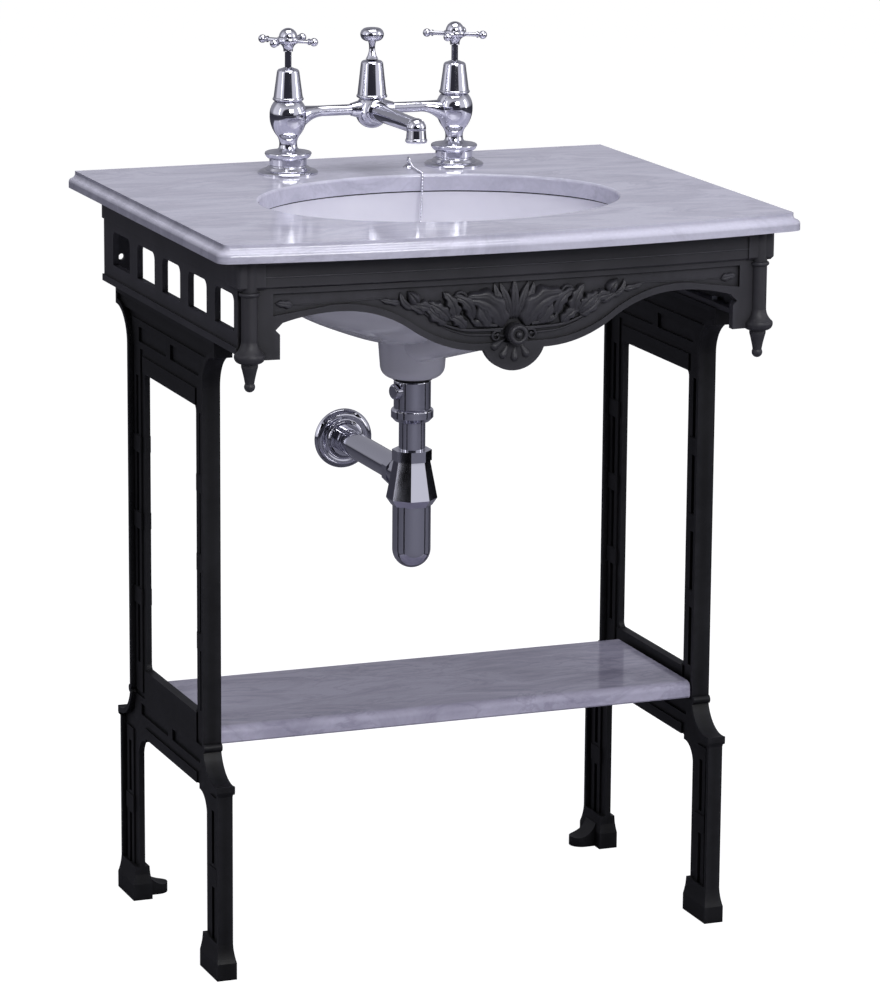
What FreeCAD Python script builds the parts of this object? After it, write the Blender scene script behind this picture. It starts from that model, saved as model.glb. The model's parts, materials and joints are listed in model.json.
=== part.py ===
import FreeCAD, Part
import math
import os

# Washstand with a marble top, under-counter oval basin, cast apron and side
# frames, marble shelf, two-hole bridge mixer and bottle trap.
# Millimetres. X to the right, Y towards the wall, Z up. The origin is on the
# floor, under the middle of the top.

# ---- marble top -------------------------------------------------------------
TOP_HEIGHT = 880.0
TOP_THICKNESS = 20.0
TOP_WIDTH = 704.0
TOP_OVERHANG = 32.0
WALL_Y = 300.0
TOP_CORNER_Y = -270.0
TOP_BOW = 30.0
TOP_CORNER_RADIUS = 15.0
OGEE_INSET = 8.0
OGEE_STEP = 2.0
OGEE_LIP = 6.0
CUTOUT_A = 215.0
CUTOUT_B = 171.0
CUTOUT_Y = -26.0
CUTOUT_EDGE_RADIUS = 3.0

# ---- basin ------------------------------------------------------------------
SEAL_THICKNESS = 2.0
SEAL_WIDTH = 14.0
BOWL_REVEAL = 3.0
BOWL_FLANGE_WIDTH = 26.0
BOWL_FLANGE_THICKNESS = 12.0
BOWL_WALL = 9.0
BOWL_DEPTH = 152.0
BOWL_FLOOR_RADIUS = 36.0
WASTE_Y = 59.0
BOWL_BOSS_RADIUS = 39.0
BOWL_BOSS_HEIGHT = 56.0
BOWL_BOSS_ROUND = 15.0
BOWL_BOSS_TAPER = 3.0
BOWL_RECESS_DEPTH = 4.0
BOWL_CURVE = 3.0
OVERFLOW_RADIUS = 24.0
OVERFLOW_RISE = 56.5
OVERFLOW_END_Y = -154.0
OVERFLOW_DROP = 16.5
CLIP_WIDTH = 20.0
CLIP_THICKNESS = 3.0
CLIP_GRIP = 10.0
CLIP_OVERHANG = 20.0
CLIP_SCREW_RADIUS = 2.5
CLIP_SCREW_DEPTH = 12.0
SCREW_HEAD_HEIGHT = 3.0
FIT_CLEARANCE = 0.05

# ---- apron ------------------------------------------------------------------
APRON_HEIGHT = 114.0
FRAME_JOINT_RISE = 6.0
APRON_THICKNESS = 10.0
APRON_CORNER_Y = -246.0
APRON_BOW = 14.0
APRON_SIDE_WALL = 7.0
APRON_REAR_Y = 262.0
BAND_HEIGHT = 32.0
BAND_PROJECTION = 3.0
BEAD_RADIUS = 2.2
FIELD_DEPTH = 4.0
FIELD_DROP = 8.0
RIM_WIDTH = 8.0
ARCH_PEAK_INSET = 104.0
ARCH_RISE = 51.0
ARCH_END_INSET = 37.0
ARCH_SAG = 10.0
NICK_DEPTH = 5.0
NICK_RISE = 5.0
BLOCK_INSET = 34.0
BLOCK_RISE = 28.0
LOBE_HALF_WIDTH = 36.0
LOBE_EDGE_DROP = 3.0
LOBE_DROP = 25.0
SHELL_RISE = 18.0
SHELL_BOSS_RADIUS = 12.0
SHELL_PETALS = 7
SHELL_PETAL_LENGTH = 44.0
SHELL_PETAL_RADIUS = 6.5
SHELL_FLUTES = 5
SHELL_FLUTE_LENGTH = 24.0
SHELL_FLUTE_RADIUS = 5.0
SHELL_BOSS_RELIEF = 12.0
SHELL_SPREAD = 18.0
SHELL_SINK = 1.5
SHELL_ROOT = 3.0
SHELL_RING_RADIUS = 2.6
SHELL_BUTTON_RADIUS = 4.0
FLUTE_SPREAD = 30.0

POST_INSET = 11.0
POST_Y = -244.0
POST_JOINT_Y = -236.0
POST_CAP_HALF = 16.5
POST_CAP_FRONT_Y = -252.0
POST_CAP_REAR_Y = -208.0
POST_CAP_DROP = 3.0
POST_CAP_ROUND = 5.0
POST_CAP_CHAMFER = 3.5
POST_BEAD_RADIUS = 11.8
POST_BEAD_HEIGHT = 5.0
POST_BEAD_GAP = 2.0
POST_SHAFT_RADIUS = 9.4
POST_FLARE_RADIUS = 17.0
POST_FLARE_RISE = 7.0
POST_NECK_RISE = 14.0
POST_FOOT_DROP = 3.0
PENDANT_TOP_RADIUS = 9.5
PENDANT_NECK_RADIUS = 5.2
PENDANT_BALL_RADIUS = 6.2
PENDANT_LENGTH = 35.5
PENDANT_SPIGOT_RADIUS = 4.0
PENDANT_SPIGOT_LENGTH = 10.0

WINDOWS = 5
WINDOW_PITCH = 95.5
WINDOW_WIDTH = 66.0
WINDOW_RISE = 24.0
WINDOW_HEIGHT = 41.0
WINDOW_SHOULDER = 9.0
WINDOW_REAR_Y = 192.0
SIDE_BAND_PROJECTION = 2.5
SIDE_LEDGE_HEIGHT = 8.0
SIDE_FOOT_WIDTH = 20.0
SIDE_FOOT_THICKNESS = 6.0
RETURN_WIDTH = 38.0
WALL_HOLE_INSET = 20.0
WALL_HOLE_RISE = 28.0
WALL_HOLE_PITCH = 60.0
WALL_HOLE_RADIUS = 4.0
TAB_LENGTH = 30.0
TAB_ROOT = 8.0
TAB_GAP = 0.5
TAB_THICKNESS = 6.0
TAB_HEIGHT = 18.0
TAB_RISE = 6.0
TAB_PITCH = 78.0
BOLT_RADIUS = 3.0
BOLT_HOLE_RADIUS = 3.3
BOLT_HOLE_GAP = 0.3
FRAME_BOLT_RADIUS = 2.5
FRAME_BOLT_HEAD_RADIUS = 4.5
FRAME_BOLT_DEPTH = 12.0
BOLT_HEAD_RADIUS = 5.0
BOLT_HEAD_HEIGHT = 4.0

# ---- side frames ------------------------------------------------------------
FRAME_CENTRE_Y = 32.0
FRAME_FLANGE_DEPTH = 22.0
LEG_FLANGE_DEPTH = 18.0
FRAME_WEB = 7.0
FRAME_RIM = 6.0
BAND_RELIEF = 2.0
FRAME_BAR_HEIGHT = 20.0
FRAME_BAR_RELIEF = 4.0
FRAME_BAR_END = 2.0
BRACKET_RADIUS = 42.0
UPRIGHT_OUTER = 141.0
UPRIGHT_INNER = 97.0
WINDOW_LOW_Z = 298.0
FRAME_HEAD_HEIGHT = 90.0
WINDOW_CORNER = 8.0
NUB_Z = 266.0
NUB_RADIUS = 5.0
LEDGE_HALF = 190.0
LEDGE_TOP_Z = 232.0
LEDGE_CURVE_Z = 260.0
LEDGE_BOTTOM_Z = 222.0
RAIL_BOTTOM_Z = 213.0
CAPITAL_HALF = 103.0
CAPITAL_FOOT_Z = 186.0
LEG_OUTER = 187.0
LEG_INNER = 130.0
FOOT_HALF = 192.0
FOOT_TOP_Z = 20.0
FOOT_CURVE_Z = 42.0
TOE_LENGTH = 29.0
TOE_TIP_Z = 12.0
TOE_ROOT_Z = 30.0
TOE_HALF_WIDTH = 15.0
FOOT_DEPTH = 24.0
SLOT_WIDTH = 9.0
SLOT_DEPTH = 3.0
SLOT_SPACE = 22.0
SLOT_END_GAP = 6.0
UPRIGHT_SLOTS = 4
LEG_SLOT_LENGTH = 64.0
LEG_SLOT_PITCH = 92.0
LEG_SLOT_DROP = 49.0
LEG_SLOTS = 2
BAND_WIDTH = 25.0
BLOCK_WIDTH = 28.0
BLOCK_HEIGHT = 20.0
BLOCK_RELIEF = 1.0
RAIL_PANEL_NEAR = 8.0
RAIL_PANEL_FAR = 112.0
HIGH_PANEL_DROP = 54.0
HIGH_PANEL_HEIGHT = 18.0
LOW_PANEL_BOTTOM_Z = 240.0
LOW_PANEL_HEIGHT = 14.0

# ---- shelf ------------------------------------------------------------------
SHELF_TOP_Z = 288.0
SHELF_THICKNESS = 20.0
SHELF_FRONT_Y = -105.0
SHELF_REAR_Y = 110.0
SHELF_END_GAP = 1.0
SHELF_NOSE = 9.0
PAD_THICKNESS = 3.0
PAD_RADIUS = 8.0
PAD_INSET_Y = 24.0
STRIP_DEPTH = 22.0
STRIP_THICKNESS = 7.0
STRIP_HALF = 90.0

# ---- taps -------------------------------------------------------------------
TAP_X = 107.0
TAP_Y = 201.0
TAP_FLANGE_RADIUS = 36.0
TAP_FLANGE_HEIGHT = 5.0
TAP_WAIST_RADIUS = 22.5
TAP_RING_RADIUS = 27.7
TAP_RING_RISE = 25.0
TAP_NECK_RADIUS = 11.5
TAP_NECK_RISE = 6.0
TAP_BALL_RADIUS = 22.3
TAP_BALL_RISE = 39.0
BONNET_RISE = 18.0
BONNET_RADIUS = 17.5
BONNET_RING_RADIUS = 18.6
BONNET_TOP_RADIUS = 13.5
BONNET_HEIGHT = 38.0
SPINDLE_RADIUS = 4.0
VALVE_RADIUS = 7.0
HANDLE_RISE = 13.0
HUB_RADIUS = 13.5
HUB_RISE = 21.0
CAP_RADIUS = 11.0
CAP_RISE = 15.0
ARM_REACH = 35.0
ARM_RADIUS = 2.4
ARM_BALL_RADIUS = 5.0
ARM_COLLAR_RADIUS = 3.8
HANDLE_ARMS = 4
HANDLE_ANGLE_LEFT = -48.0
HANDLE_ANGLE_RIGHT = -36.0
SHANK_RADIUS = 10.4
SHANK_BORE = 6.5
SHANK_LENGTH = 48.0
TAIL_THREAD_LENGTH = 30.0
TAIL_GROOVE_WIDTH = 2.0
TAIL_GROOVE_DEPTH = 1.0
DECK_HOLE_RADIUS = 14.0
WASHER_RADIUS = 20.0
WASHER_THICKNESS = 3.0
BACKNUT_RADIUS = 17.0
BACKNUT_HEIGHT = 9.0

# ---- bridge, middle column and spout -----------------------------------------
BRIDGE_RISE = 3.5
PIPE_RADIUS = 6.5
HORN_END = 47.0
CENTRE_BALL_RADIUS = 20.0
CENTRE_BONNET_RISE = 15.0
CENTRE_BONNET_HEIGHT = 45.0
CENTRE_SOCKET_X = 27.0
CENTRE_SOCKET_RADIUS = 9.5
KNOB_REST_GAP = 0.3
KNOB_STEM_RADIUS = 3.4
KNOB_FOOT_RADIUS = 7.5
KNOB_RISE = 31.0
KNOB_HALF_WIDTH = 14.2
KNOB_HALF_HEIGHT = 8.5
KNOB_STEM_DEPTH = 30.0
SPOUT_DROP = 1.5
SPOUT_REACH = 150.0
SPOUT_SINK = 3.0
SPOUT_ROOT_RADIUS = 10.5
SPOUT_RADIUS = 9.2
COLLAR_RADIUS = 14.5
COLLAR_WIDTH = 7.0
NOSE_RADIUS = 12.0
NOSE_CROWN = 0.8
NOSE_DROP = 14.0
NOSE_BORE = 8.5
NOZZLE_RADIUS = 13.0
NOZZLE_LENGTH = 5.0
NOZZLE_BORE = 7.0

# ---- plug, chain and stay -----------------------------------------------------
STAY_X = 48.0
STAY_Y = 201.0
STAY_RADIUS = 7.0
STAY_HEIGHT = 4.0
STAY_EYE_RISE = 9.0
STAY_EYE_RADIUS = 3.6
STAY_WIRE_RADIUS = 1.2
STAY_STUD_RADIUS = 3.0
STAY_HOLE_RADIUS = 3.5
STAY_STUD_LENGTH = 12.0
STAY_NUT_RADIUS = 6.5
STAY_NUT_HEIGHT = 5.0
CHAIN_RADIUS = 1.5
PLUG_TOP_RADIUS = 21.0
PLUG_CROWN = 4.5
PLUG_BORE_GAP = 0.5
PLUG_HEIGHT = 10.0
PLUG_GAP = 0.3
PLUG_EYE_RADIUS = 3.6

# ---- waste and trap -------------------------------------------------------------
WASTE_RIM_RADIUS = 31.0
WASTE_RIM_THICKNESS = 2.5
WASTE_GASKET_THICKNESS = 2.0
WASTE_NECK_LENGTH = 20.0
WASTE_BODY_ROUND = 3.0
WASTE_BODY_RADIUS = 22.3
WASTE_BODY_LENGTH = 44.0
WASTE_NECK_RADIUS = 19.0
WASTE_BORE = 16.5
WASTE_HOLE_RADIUS = 22.5
SIDE_BOSS_DROP = 15.0
SIDE_BOSS_RADIUS = 9.5
SIDE_BOSS_REACH = 29.0
TAIL_RADIUS = 16.0
TAIL_WALL = 1.5
TAIL_LENGTH = 151.0
TAIL_NUT_RADIUS = 25.5
TAIL_NUT_RISE = 7.0
TAIL_NUT_HEIGHT = 16.0
TRAP_NUT_RADIUS = 24.0
TRAP_DROP = 44.0
TRAP_NUT_HEIGHT = 13.0
TRAP_TOP_RADIUS = 21.0
TRAP_FLARE_RADIUS = 31.0
TRAP_FLARE_DROP = 46.0
TRAP_FOOT_HEIGHT = 9.0
TRAP_SOCKET_DEPTH = 6.0
TRAP_NECK_WALL = 1.5
TRAP_FACETS = 8
BOTTLE_RADIUS = 23.2
BOTTLE_LENGTH = 77.0
BOTTLE_WALL = 2.0
OUTLET_RISE = 24.0
OUTLET_SOCKET_GAP = 0.8
OUTLET_RADIUS = 16.0
OUTLET_WALL = 1.5
OUTLET_NUT_RADIUS = 22.0
OUTLET_NUT_GAP = 2.0
OUTLET_NUT_LENGTH = 16.0
WALL_FLANGE_RADIUS = 37.5
WALL_FLANGE_DEPTH = 14.0
WALL_FLANGE_NECK_RADIUS = 21.0

# ---- worked-out places ----------------------------------------------------------
TOP_UNDERSIDE = TOP_HEIGHT - TOP_THICKNESS
BOWL_TOP_Z = TOP_UNDERSIDE - SEAL_THICKNESS
BOWL_FLANGE_BOTTOM_Z = BOWL_TOP_Z - BOWL_FLANGE_THICKNESS
BOWL_FLOOR_Z = BOWL_TOP_Z - BOWL_DEPTH
BOWL_BOSS_BOTTOM_Z = BOWL_FLOOR_Z - BOWL_BOSS_HEIGHT
BOWL_RIM_A = CUTOUT_A + BOWL_REVEAL
BOWL_RIM_B = CUTOUT_B + BOWL_REVEAL
FLANGE_A = BOWL_RIM_A + BOWL_FLANGE_WIDTH
FLANGE_B = BOWL_RIM_B + BOWL_FLANGE_WIDTH

APRON_SIDE_X = TOP_WIDTH / 2 - TOP_OVERHANG
APRON_BOTTOM_Z = TOP_UNDERSIDE - APRON_HEIGHT
BAND_BOTTOM_Z = TOP_UNDERSIDE - BAND_HEIGHT
FIELD_TOP_Z = BAND_BOTTOM_Z - FIELD_DROP
POST_X = APRON_SIDE_X - POST_INSET
POST_CAP_BOTTOM_Z = BAND_BOTTOM_Z - POST_CAP_DROP
POST_FLARE_Z = APRON_BOTTOM_Z + POST_FLARE_RISE
POST_BOTTOM_Z = APRON_BOTTOM_Z - POST_FOOT_DROP
PENDANT_TIP_Z = APRON_BOTTOM_Z - PENDANT_LENGTH
BLOCK_X = POST_X - BLOCK_INSET
BLOCK_TOP_Z = APRON_BOTTOM_Z + BLOCK_RISE
NICK_X = BLOCK_X + NICK_DEPTH
ARCH_PEAK_X = POST_X - ARCH_PEAK_INSET
ARCH_PEAK_Z = APRON_BOTTOM_Z + ARCH_RISE
ARCH_END_X = POST_X - ARCH_END_INSET
ARCH_END_Z = ARCH_PEAK_Z - ARCH_SAG
LOBE_EDGE_Z = APRON_BOTTOM_Z - LOBE_EDGE_DROP
LOBE_BOTTOM_Z = LOBE_EDGE_Z - LOBE_DROP
SHELL_BOSS_Z = LOBE_EDGE_Z + SHELL_RISE

FRAME_JOINT_Z = APRON_BOTTOM_Z + FRAME_JOINT_RISE
WINDOW_BOTTOM_Z = FRAME_JOINT_Z + WINDOW_RISE
WINDOW_TOP_Z = WINDOW_BOTTOM_Z + WINDOW_HEIGHT
SIDE_LEDGE_TOP_Z = FRAME_JOINT_Z + SIDE_LEDGE_HEIGHT
WALL_HOLE_X = APRON_SIDE_X - WALL_HOLE_INSET
WALL_HOLE_LOW_Z = FRAME_JOINT_Z + WALL_HOLE_RISE
WALL_HOLE_HIGH_Z = WALL_HOLE_LOW_Z + WALL_HOLE_PITCH
TAB_LOW_Z = FRAME_JOINT_Z + TAB_RISE
TAB_HIGH_Z = TAB_LOW_Z + TAB_PITCH

FRAME_OUTER_X = APRON_SIDE_X
FRAME_INNER_X = FRAME_OUTER_X - FRAME_FLANGE_DEPTH
FRAME_MIDDLE_X = FRAME_OUTER_X - FRAME_FLANGE_DEPTH / 2
BRACKET_TOP_Z = FRAME_JOINT_Z - FRAME_BAR_HEIGHT
BRACKET_HALF = UPRIGHT_OUTER + BRACKET_RADIUS
FRAME_TOP_HALF = BRACKET_HALF + FRAME_BAR_END
WINDOW_HIGH_Z = FRAME_JOINT_Z - FRAME_HEAD_HEIGHT
HIGH_PANEL_BOTTOM_Z = FRAME_JOINT_Z - HIGH_PANEL_DROP
SLOT_RUN = WINDOW_HIGH_Z - WINDOW_LOW_Z - 2 * SLOT_END_GAP
SLOT_LENGTH = (SLOT_RUN - (UPRIGHT_SLOTS - 1) * SLOT_SPACE) / UPRIGHT_SLOTS
SLOT_PITCH = SLOT_LENGTH + SLOT_SPACE
SLOT_FIRST_Z = WINDOW_HIGH_Z - SLOT_END_GAP - SLOT_LENGTH / 2
LEG_SLOT_FIRST_Z = RAIL_BOTTOM_Z - LEG_SLOT_DROP
SHELF_BOTTOM_Z = SHELF_TOP_Z - SHELF_THICKNESS
STRIP_TOP_Z = SHELF_BOTTOM_Z - PAD_THICKNESS
SHELF_HALF_LENGTH = FRAME_INNER_X - SHELF_END_GAP

TAP_RING_Z = TOP_HEIGHT + TAP_RING_RISE
TAP_NECK_Z = TAP_RING_Z + TAP_NECK_RISE
TAP_BALL_Z = TAP_NECK_Z + TAP_BALL_RISE
BONNET_Z = TAP_BALL_Z + BONNET_RISE
BONNET_TOP_Z = BONNET_Z + BONNET_HEIGHT
HUB_BOTTOM_Z = BONNET_TOP_Z + HUB_RISE
HANDLE_Z = HUB_BOTTOM_Z + HANDLE_RISE
CAP_TOP_Z = HANDLE_Z + CAP_RISE
SHANK_BOTTOM_Z = TOP_UNDERSIDE - SHANK_LENGTH
BRIDGE_Z = TAP_BALL_Z + BRIDGE_RISE
SPOUT_Z = BRIDGE_Z - SPOUT_DROP
CENTRE_BONNET_Z = SPOUT_Z + CENTRE_BONNET_RISE
CENTRE_BONNET_TOP_Z = CENTRE_BONNET_Z + CENTRE_BONNET_HEIGHT
KNOB_Z = CENTRE_BONNET_TOP_Z + KNOB_RISE
NOSE_BOTTOM_Z = SPOUT_Z - NOSE_DROP
NOZZLE_BOTTOM_Z = NOSE_BOTTOM_Z - NOZZLE_LENGTH
STAY_EYE_Z = TOP_HEIGHT + STAY_EYE_RISE
STAY_STUD_BOTTOM_Z = TOP_UNDERSIDE - STAY_STUD_LENGTH

WASTE_BODY_BOTTOM_Z = BOWL_BOSS_BOTTOM_Z - WASTE_BODY_LENGTH
SIDE_BOSS_Z = BOWL_BOSS_BOTTOM_Z - SIDE_BOSS_DROP
TAIL_BOTTOM_Z = WASTE_BODY_BOTTOM_Z - TAIL_LENGTH
TAIL_NUT_TOP_Z = WASTE_BODY_BOTTOM_Z + TAIL_NUT_RISE
TAIL_NUT_BOTTOM_Z = TAIL_NUT_TOP_Z - TAIL_NUT_HEIGHT
TRAP_NUT_TOP_Z = WASTE_BODY_BOTTOM_Z - TRAP_DROP
TRAP_NUT_BOTTOM_Z = TRAP_NUT_TOP_Z - TRAP_NUT_HEIGHT
TRAP_FLARE_Z = TRAP_NUT_BOTTOM_Z - TRAP_FLARE_DROP
TRAP_BOTTOM_Z = TRAP_FLARE_Z - TRAP_FOOT_HEIGHT
BOTTLE_BOTTOM_Z = TRAP_BOTTOM_Z - BOTTLE_LENGTH
OUTLET_Z = TRAP_FLARE_Z + OUTLET_RISE
OUTLET_NUT_START_Y = WASTE_Y + TRAP_FLARE_RADIUS + OUTLET_NUT_GAP
OUTLET_NUT_END_Y = OUTLET_NUT_START_Y + OUTLET_NUT_LENGTH

LEFT = -1
RIGHT = 1
UP = FreeCAD.Vector(0, 0, 1)
BACK = FreeCAD.Vector(0, 1, 0)
ALONG = FreeCAD.Vector(1, 0, 0)
ORIGIN = FreeCAD.Vector(0, 0, 0)


# ---- shape helpers ----------------------------------------------------------------
def point(x, y, z):
    return FreeCAD.Vector(x, y, z)


def in_xz(y):
    return lambda u, v: point(u, y, v)


def in_yz(x):
    return lambda u, v: point(x, u, v)


def in_xy(z):
    return lambda u, v: point(u, v, z)


# A closed wire. A move of two numbers is a line to that place, and a move of
# four numbers is an arc through the first place to the second.
def closed_wire(place, start, moves):
    edges = []
    here = start
    for move in moves:
        end = move[-2:]
        if len(move) == 2:
            edges.append(Part.LineSegment(place(*here), place(*end)).toShape())
        else:
            edges.append(Part.Arc(place(*here), place(*move[:2]), place(*end)).toShape())
        here = end
    if place(*here).distanceToPoint(place(*start)) > 1e-6:
        edges.append(Part.LineSegment(place(*here), place(*start)).toShape())
    return Part.Wire(edges)


def prism(place, start, moves, travel):
    return Part.Face(closed_wire(place, start, moves)).extrude(travel)


# A solid turned about the Z axis from a closed outline of (radius, height).
def turned(start, moves):
    face = Part.Face(closed_wire(in_xz(0), start, moves))
    return face.revolve(ORIGIN, UP, 360)


# An arc from a place of that radius to the axis, as part of a ball centred on
# the axis.
def dome(radius, low, high):
    height = high - low
    ball_radius = (radius ** 2 + height ** 2) / (2 * height)
    half_turn = math.atan2(height, radius)
    return (ball_radius * math.sin(half_turn), high - ball_radius * (1 - math.cos(half_turn)), 0, high)


def moved(shape, x=0, y=0, z=0):
    copy = shape.copy()
    copy.translate(point(x, y, z))
    return copy


def spun(shape, angle, axis=UP, centre=ORIGIN):
    copy = shape.copy()
    copy.rotate(centre, axis, angle)
    return copy


def mirrored(shape):
    return shape.mirror(ORIGIN, ALONG)


def on_side(shape, side):
    return shape if side == RIGHT else mirrored(shape)


def box(low, high):
    size = [b - a for a, b in zip(low, high)]
    return Part.makeBox(*size, point(*low))


def rod(radius, start, end):
    travel = end - start
    return Part.makeCylinder(radius, travel.Length, start, travel)


def tube(radius, bore, start, end):
    return rod(radius, start, end).cut(rod(bore, start, end))


def merged(shapes):
    whole = shapes[0]
    if len(shapes) > 1:
        whole = whole.fuse(shapes[1:])
    return whole.removeSplitter()


def ball(radius, centre):
    return Part.makeSphere(radius, centre)


# A drop with its point at the start and its round end away from it, lying in
# a plane that faces front, at an angle above the X axis.
def drop(start, length, radius, angle):
    centre = length - radius
    lean = math.asin(radius / centre)
    high = (math.pi / 2 - lean) / 2
    shape = turned(
        (0, 0),
        [
            (radius * math.cos(lean), centre - radius * math.sin(lean)),
            (radius * math.cos(high), centre + radius * math.sin(high), 0, length),
        ],
    )
    return spun(shape, 90 - angle, BACK).translated(start)


def polygon_prism(sides, radius, start, end):
    turn = 360.0 / sides
    corners = [spun(Part.Vertex(radius, 0, 0), turn * (n + 0.5)).Point for n in range(sides)]
    face = Part.Face(Part.makePolygon(corners + corners[:1]))
    travel = end - start
    solid = face.extrude(UP * travel.Length)
    solid.Placement = FreeCAD.Placement(start, FreeCAD.Rotation(UP, travel))
    return solid


def hexagon(across_corners_radius, start, end):
    return polygon_prism(6, across_corners_radius, start, end)


def ellipse_wire(a, b, centre):
    return Part.Wire(Part.Ellipse(centre, a, b).toShape())


def ellipse_prism(a, b, centre, height):
    return Part.Face(ellipse_wire(a, b, centre)).extrude(UP * height)


def circle_wire(radius, centre, normal):
    return Part.Wire(Part.makeCircle(radius, centre, normal))


def lofted(wires):
    return Part.makeLoft(wires, True, False)


def save(node, shape):
    shape.exportStep(os.path.join("parts", node + ".step"))


def save_group(node, shapes):
    save(node, Part.makeCompound(shapes))


# ---- marble top -------------------------------------------------------------------
def ogee_cutter(path):
    side = -TOP_WIDTH / 2
    middle_z = (TOP_HEIGHT - OGEE_STEP + TOP_UNDERSIDE + OGEE_LIP) / 2
    middle_in = OGEE_INSET / 2
    quarter = (TOP_HEIGHT - OGEE_STEP - middle_z) / 2
    profile = closed_wire(
        in_xz(WALL_Y),
        (side + OGEE_INSET, TOP_HEIGHT + 1),
        [
            (side - 1, TOP_HEIGHT + 1),
            (side - 1, TOP_UNDERSIDE + OGEE_LIP),
            (side, TOP_UNDERSIDE + OGEE_LIP),
            (side + middle_in / 2 - 1, middle_z - quarter + 1, side + middle_in, middle_z),
            (side + 1.5 * middle_in + 1, middle_z + quarter - 1,
             side + OGEE_INSET, TOP_HEIGHT - OGEE_STEP),
        ],
    )
    return Part.Wire(path).makePipeShell([profile], True, False)


def marble_top():
    half = TOP_WIDTH / 2
    slab = prism(
        in_xy(TOP_UNDERSIDE),
        (-half, WALL_Y),
        [
            (-half, TOP_CORNER_Y),
            (0, TOP_CORNER_Y - TOP_BOW, half, TOP_CORNER_Y),
            (half, WALL_Y),
        ],
        UP * TOP_THICKNESS,
    )
    corners = [edge for edge in slab.Edges
               if abs(edge.BoundBox.ZLength - TOP_THICKNESS) < 0.01
               and edge.BoundBox.YMax < 0]
    slab = slab.makeFillet(TOP_CORNER_RADIUS, corners)
    outer = [edge for edge in slab.Edges
             if edge.BoundBox.ZMin > TOP_HEIGHT - 0.01 and edge.BoundBox.YMin < WALL_Y - 0.01]
    path = Part.__sortEdges__(outer)
    if path[0].firstVertex(True).Point.x > 0:
        path = [edge.reversed() for edge in reversed(path)]
    slab = slab.cut(ogee_cutter(path))
    middle = point(0, CUTOUT_Y, TOP_UNDERSIDE)
    slab = slab.cut(ellipse_prism(CUTOUT_A, CUTOUT_B, middle, TOP_THICKNESS))
    rim = [edge for edge in slab.Edges
           if edge.BoundBox.ZMin > TOP_HEIGHT - 0.01
           and abs(edge.BoundBox.XLength - 2 * CUTOUT_A) < 0.5]
    slab = slab.makeFillet(CUTOUT_EDGE_RADIUS, rim)
    for side in (LEFT, RIGHT):
        slab = slab.cut(rod(DECK_HOLE_RADIUS, point(side * TAP_X, TAP_Y, TOP_UNDERSIDE),
                            point(side * TAP_X, TAP_Y, TOP_HEIGHT)))
    slab = slab.cut(rod(STAY_HOLE_RADIUS, point(STAY_X, STAY_Y, TOP_UNDERSIDE),
                        point(STAY_X, STAY_Y, TOP_HEIGHT)))
    for x, y, _ in clip_places():
        slab = slab.cut(rod(CLIP_SCREW_RADIUS + FIT_CLEARANCE, point(x, y, TOP_UNDERSIDE),
                            point(x, y, TOP_UNDERSIDE + CLIP_SCREW_DEPTH + FIT_CLEARANCE)))
    return slab


# ---- basin ------------------------------------------------------------------------
# One level of the bowl: depth runs from 0 at the rim to 1 at the floor, where
# the oval has shrunk to a circle round the waste.
def bowl_level(depth, offset, floor_z):
    spread = 1 - depth ** BOWL_CURVE
    a = BOWL_FLOOR_RADIUS + (BOWL_RIM_A - BOWL_FLOOR_RADIUS) * spread + offset
    b = BOWL_FLOOR_RADIUS + (BOWL_RIM_B - BOWL_FLOOR_RADIUS) * spread + offset
    y = CUTOUT_Y + (WASTE_Y - CUTOUT_Y) * (1 - spread)
    z = BOWL_TOP_Z + (floor_z - BOWL_TOP_Z) * depth
    return ellipse_wire(max(a, b + 0.01), b, point(0, y, z))


def bowl_form(offset, floor_z):
    depths = [0.0, 0.3, 0.55, 0.75, 0.9, 1.0]
    return lofted([bowl_level(depth, offset, floor_z) for depth in depths])


# The rounded duct under the bowl that leads the overflow back to the waste.
def overflow_duct():
    start = point(0, WASTE_Y, BOWL_FLOOR_Z - OVERFLOW_DROP)
    end = point(0, OVERFLOW_END_Y, start.z + OVERFLOW_RISE)
    return merged([rod(OVERFLOW_RADIUS, start, end), ball(OVERFLOW_RADIUS, end)])


def basin_bowl():
    flange = ellipse_prism(FLANGE_A, FLANGE_B, point(0, CUTOUT_Y, BOWL_FLANGE_BOTTOM_Z),
                           BOWL_FLANGE_THICKNESS)
    body = bowl_form(BOWL_WALL, BOWL_FLOOR_Z - BOWL_WALL)
    boss_top = BOWL_FLOOR_Z - BOWL_RECESS_DEPTH
    bend = BOWL_BOSS_ROUND * (1 - math.sqrt(0.5))
    boss = turned(
        (0, BOWL_BOSS_BOTTOM_Z),
        [
            (BOWL_BOSS_RADIUS - BOWL_BOSS_ROUND, BOWL_BOSS_BOTTOM_Z),
            (BOWL_BOSS_RADIUS - bend, BOWL_BOSS_BOTTOM_Z + bend,
             BOWL_BOSS_RADIUS, BOWL_BOSS_BOTTOM_Z + BOWL_BOSS_ROUND),
            (BOWL_BOSS_RADIUS + BOWL_BOSS_TAPER, boss_top),
            (0, boss_top),
        ],
    )
    bowl = merged([flange, body, moved(boss, y=WASTE_Y), overflow_duct()])
    bowl = bowl.cut(bowl_form(0, BOWL_FLOOR_Z))
    recess = rod(WASTE_RIM_RADIUS + 1, point(0, WASTE_Y, boss_top),
                 point(0, WASTE_Y, BOWL_FLOOR_Z + 1))
    hole = rod(WASTE_HOLE_RADIUS, point(0, WASTE_Y, BOWL_BOSS_BOTTOM_Z),
               point(0, WASTE_Y, BOWL_FLOOR_Z))
    return bowl.cut([recess, hole])


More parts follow.
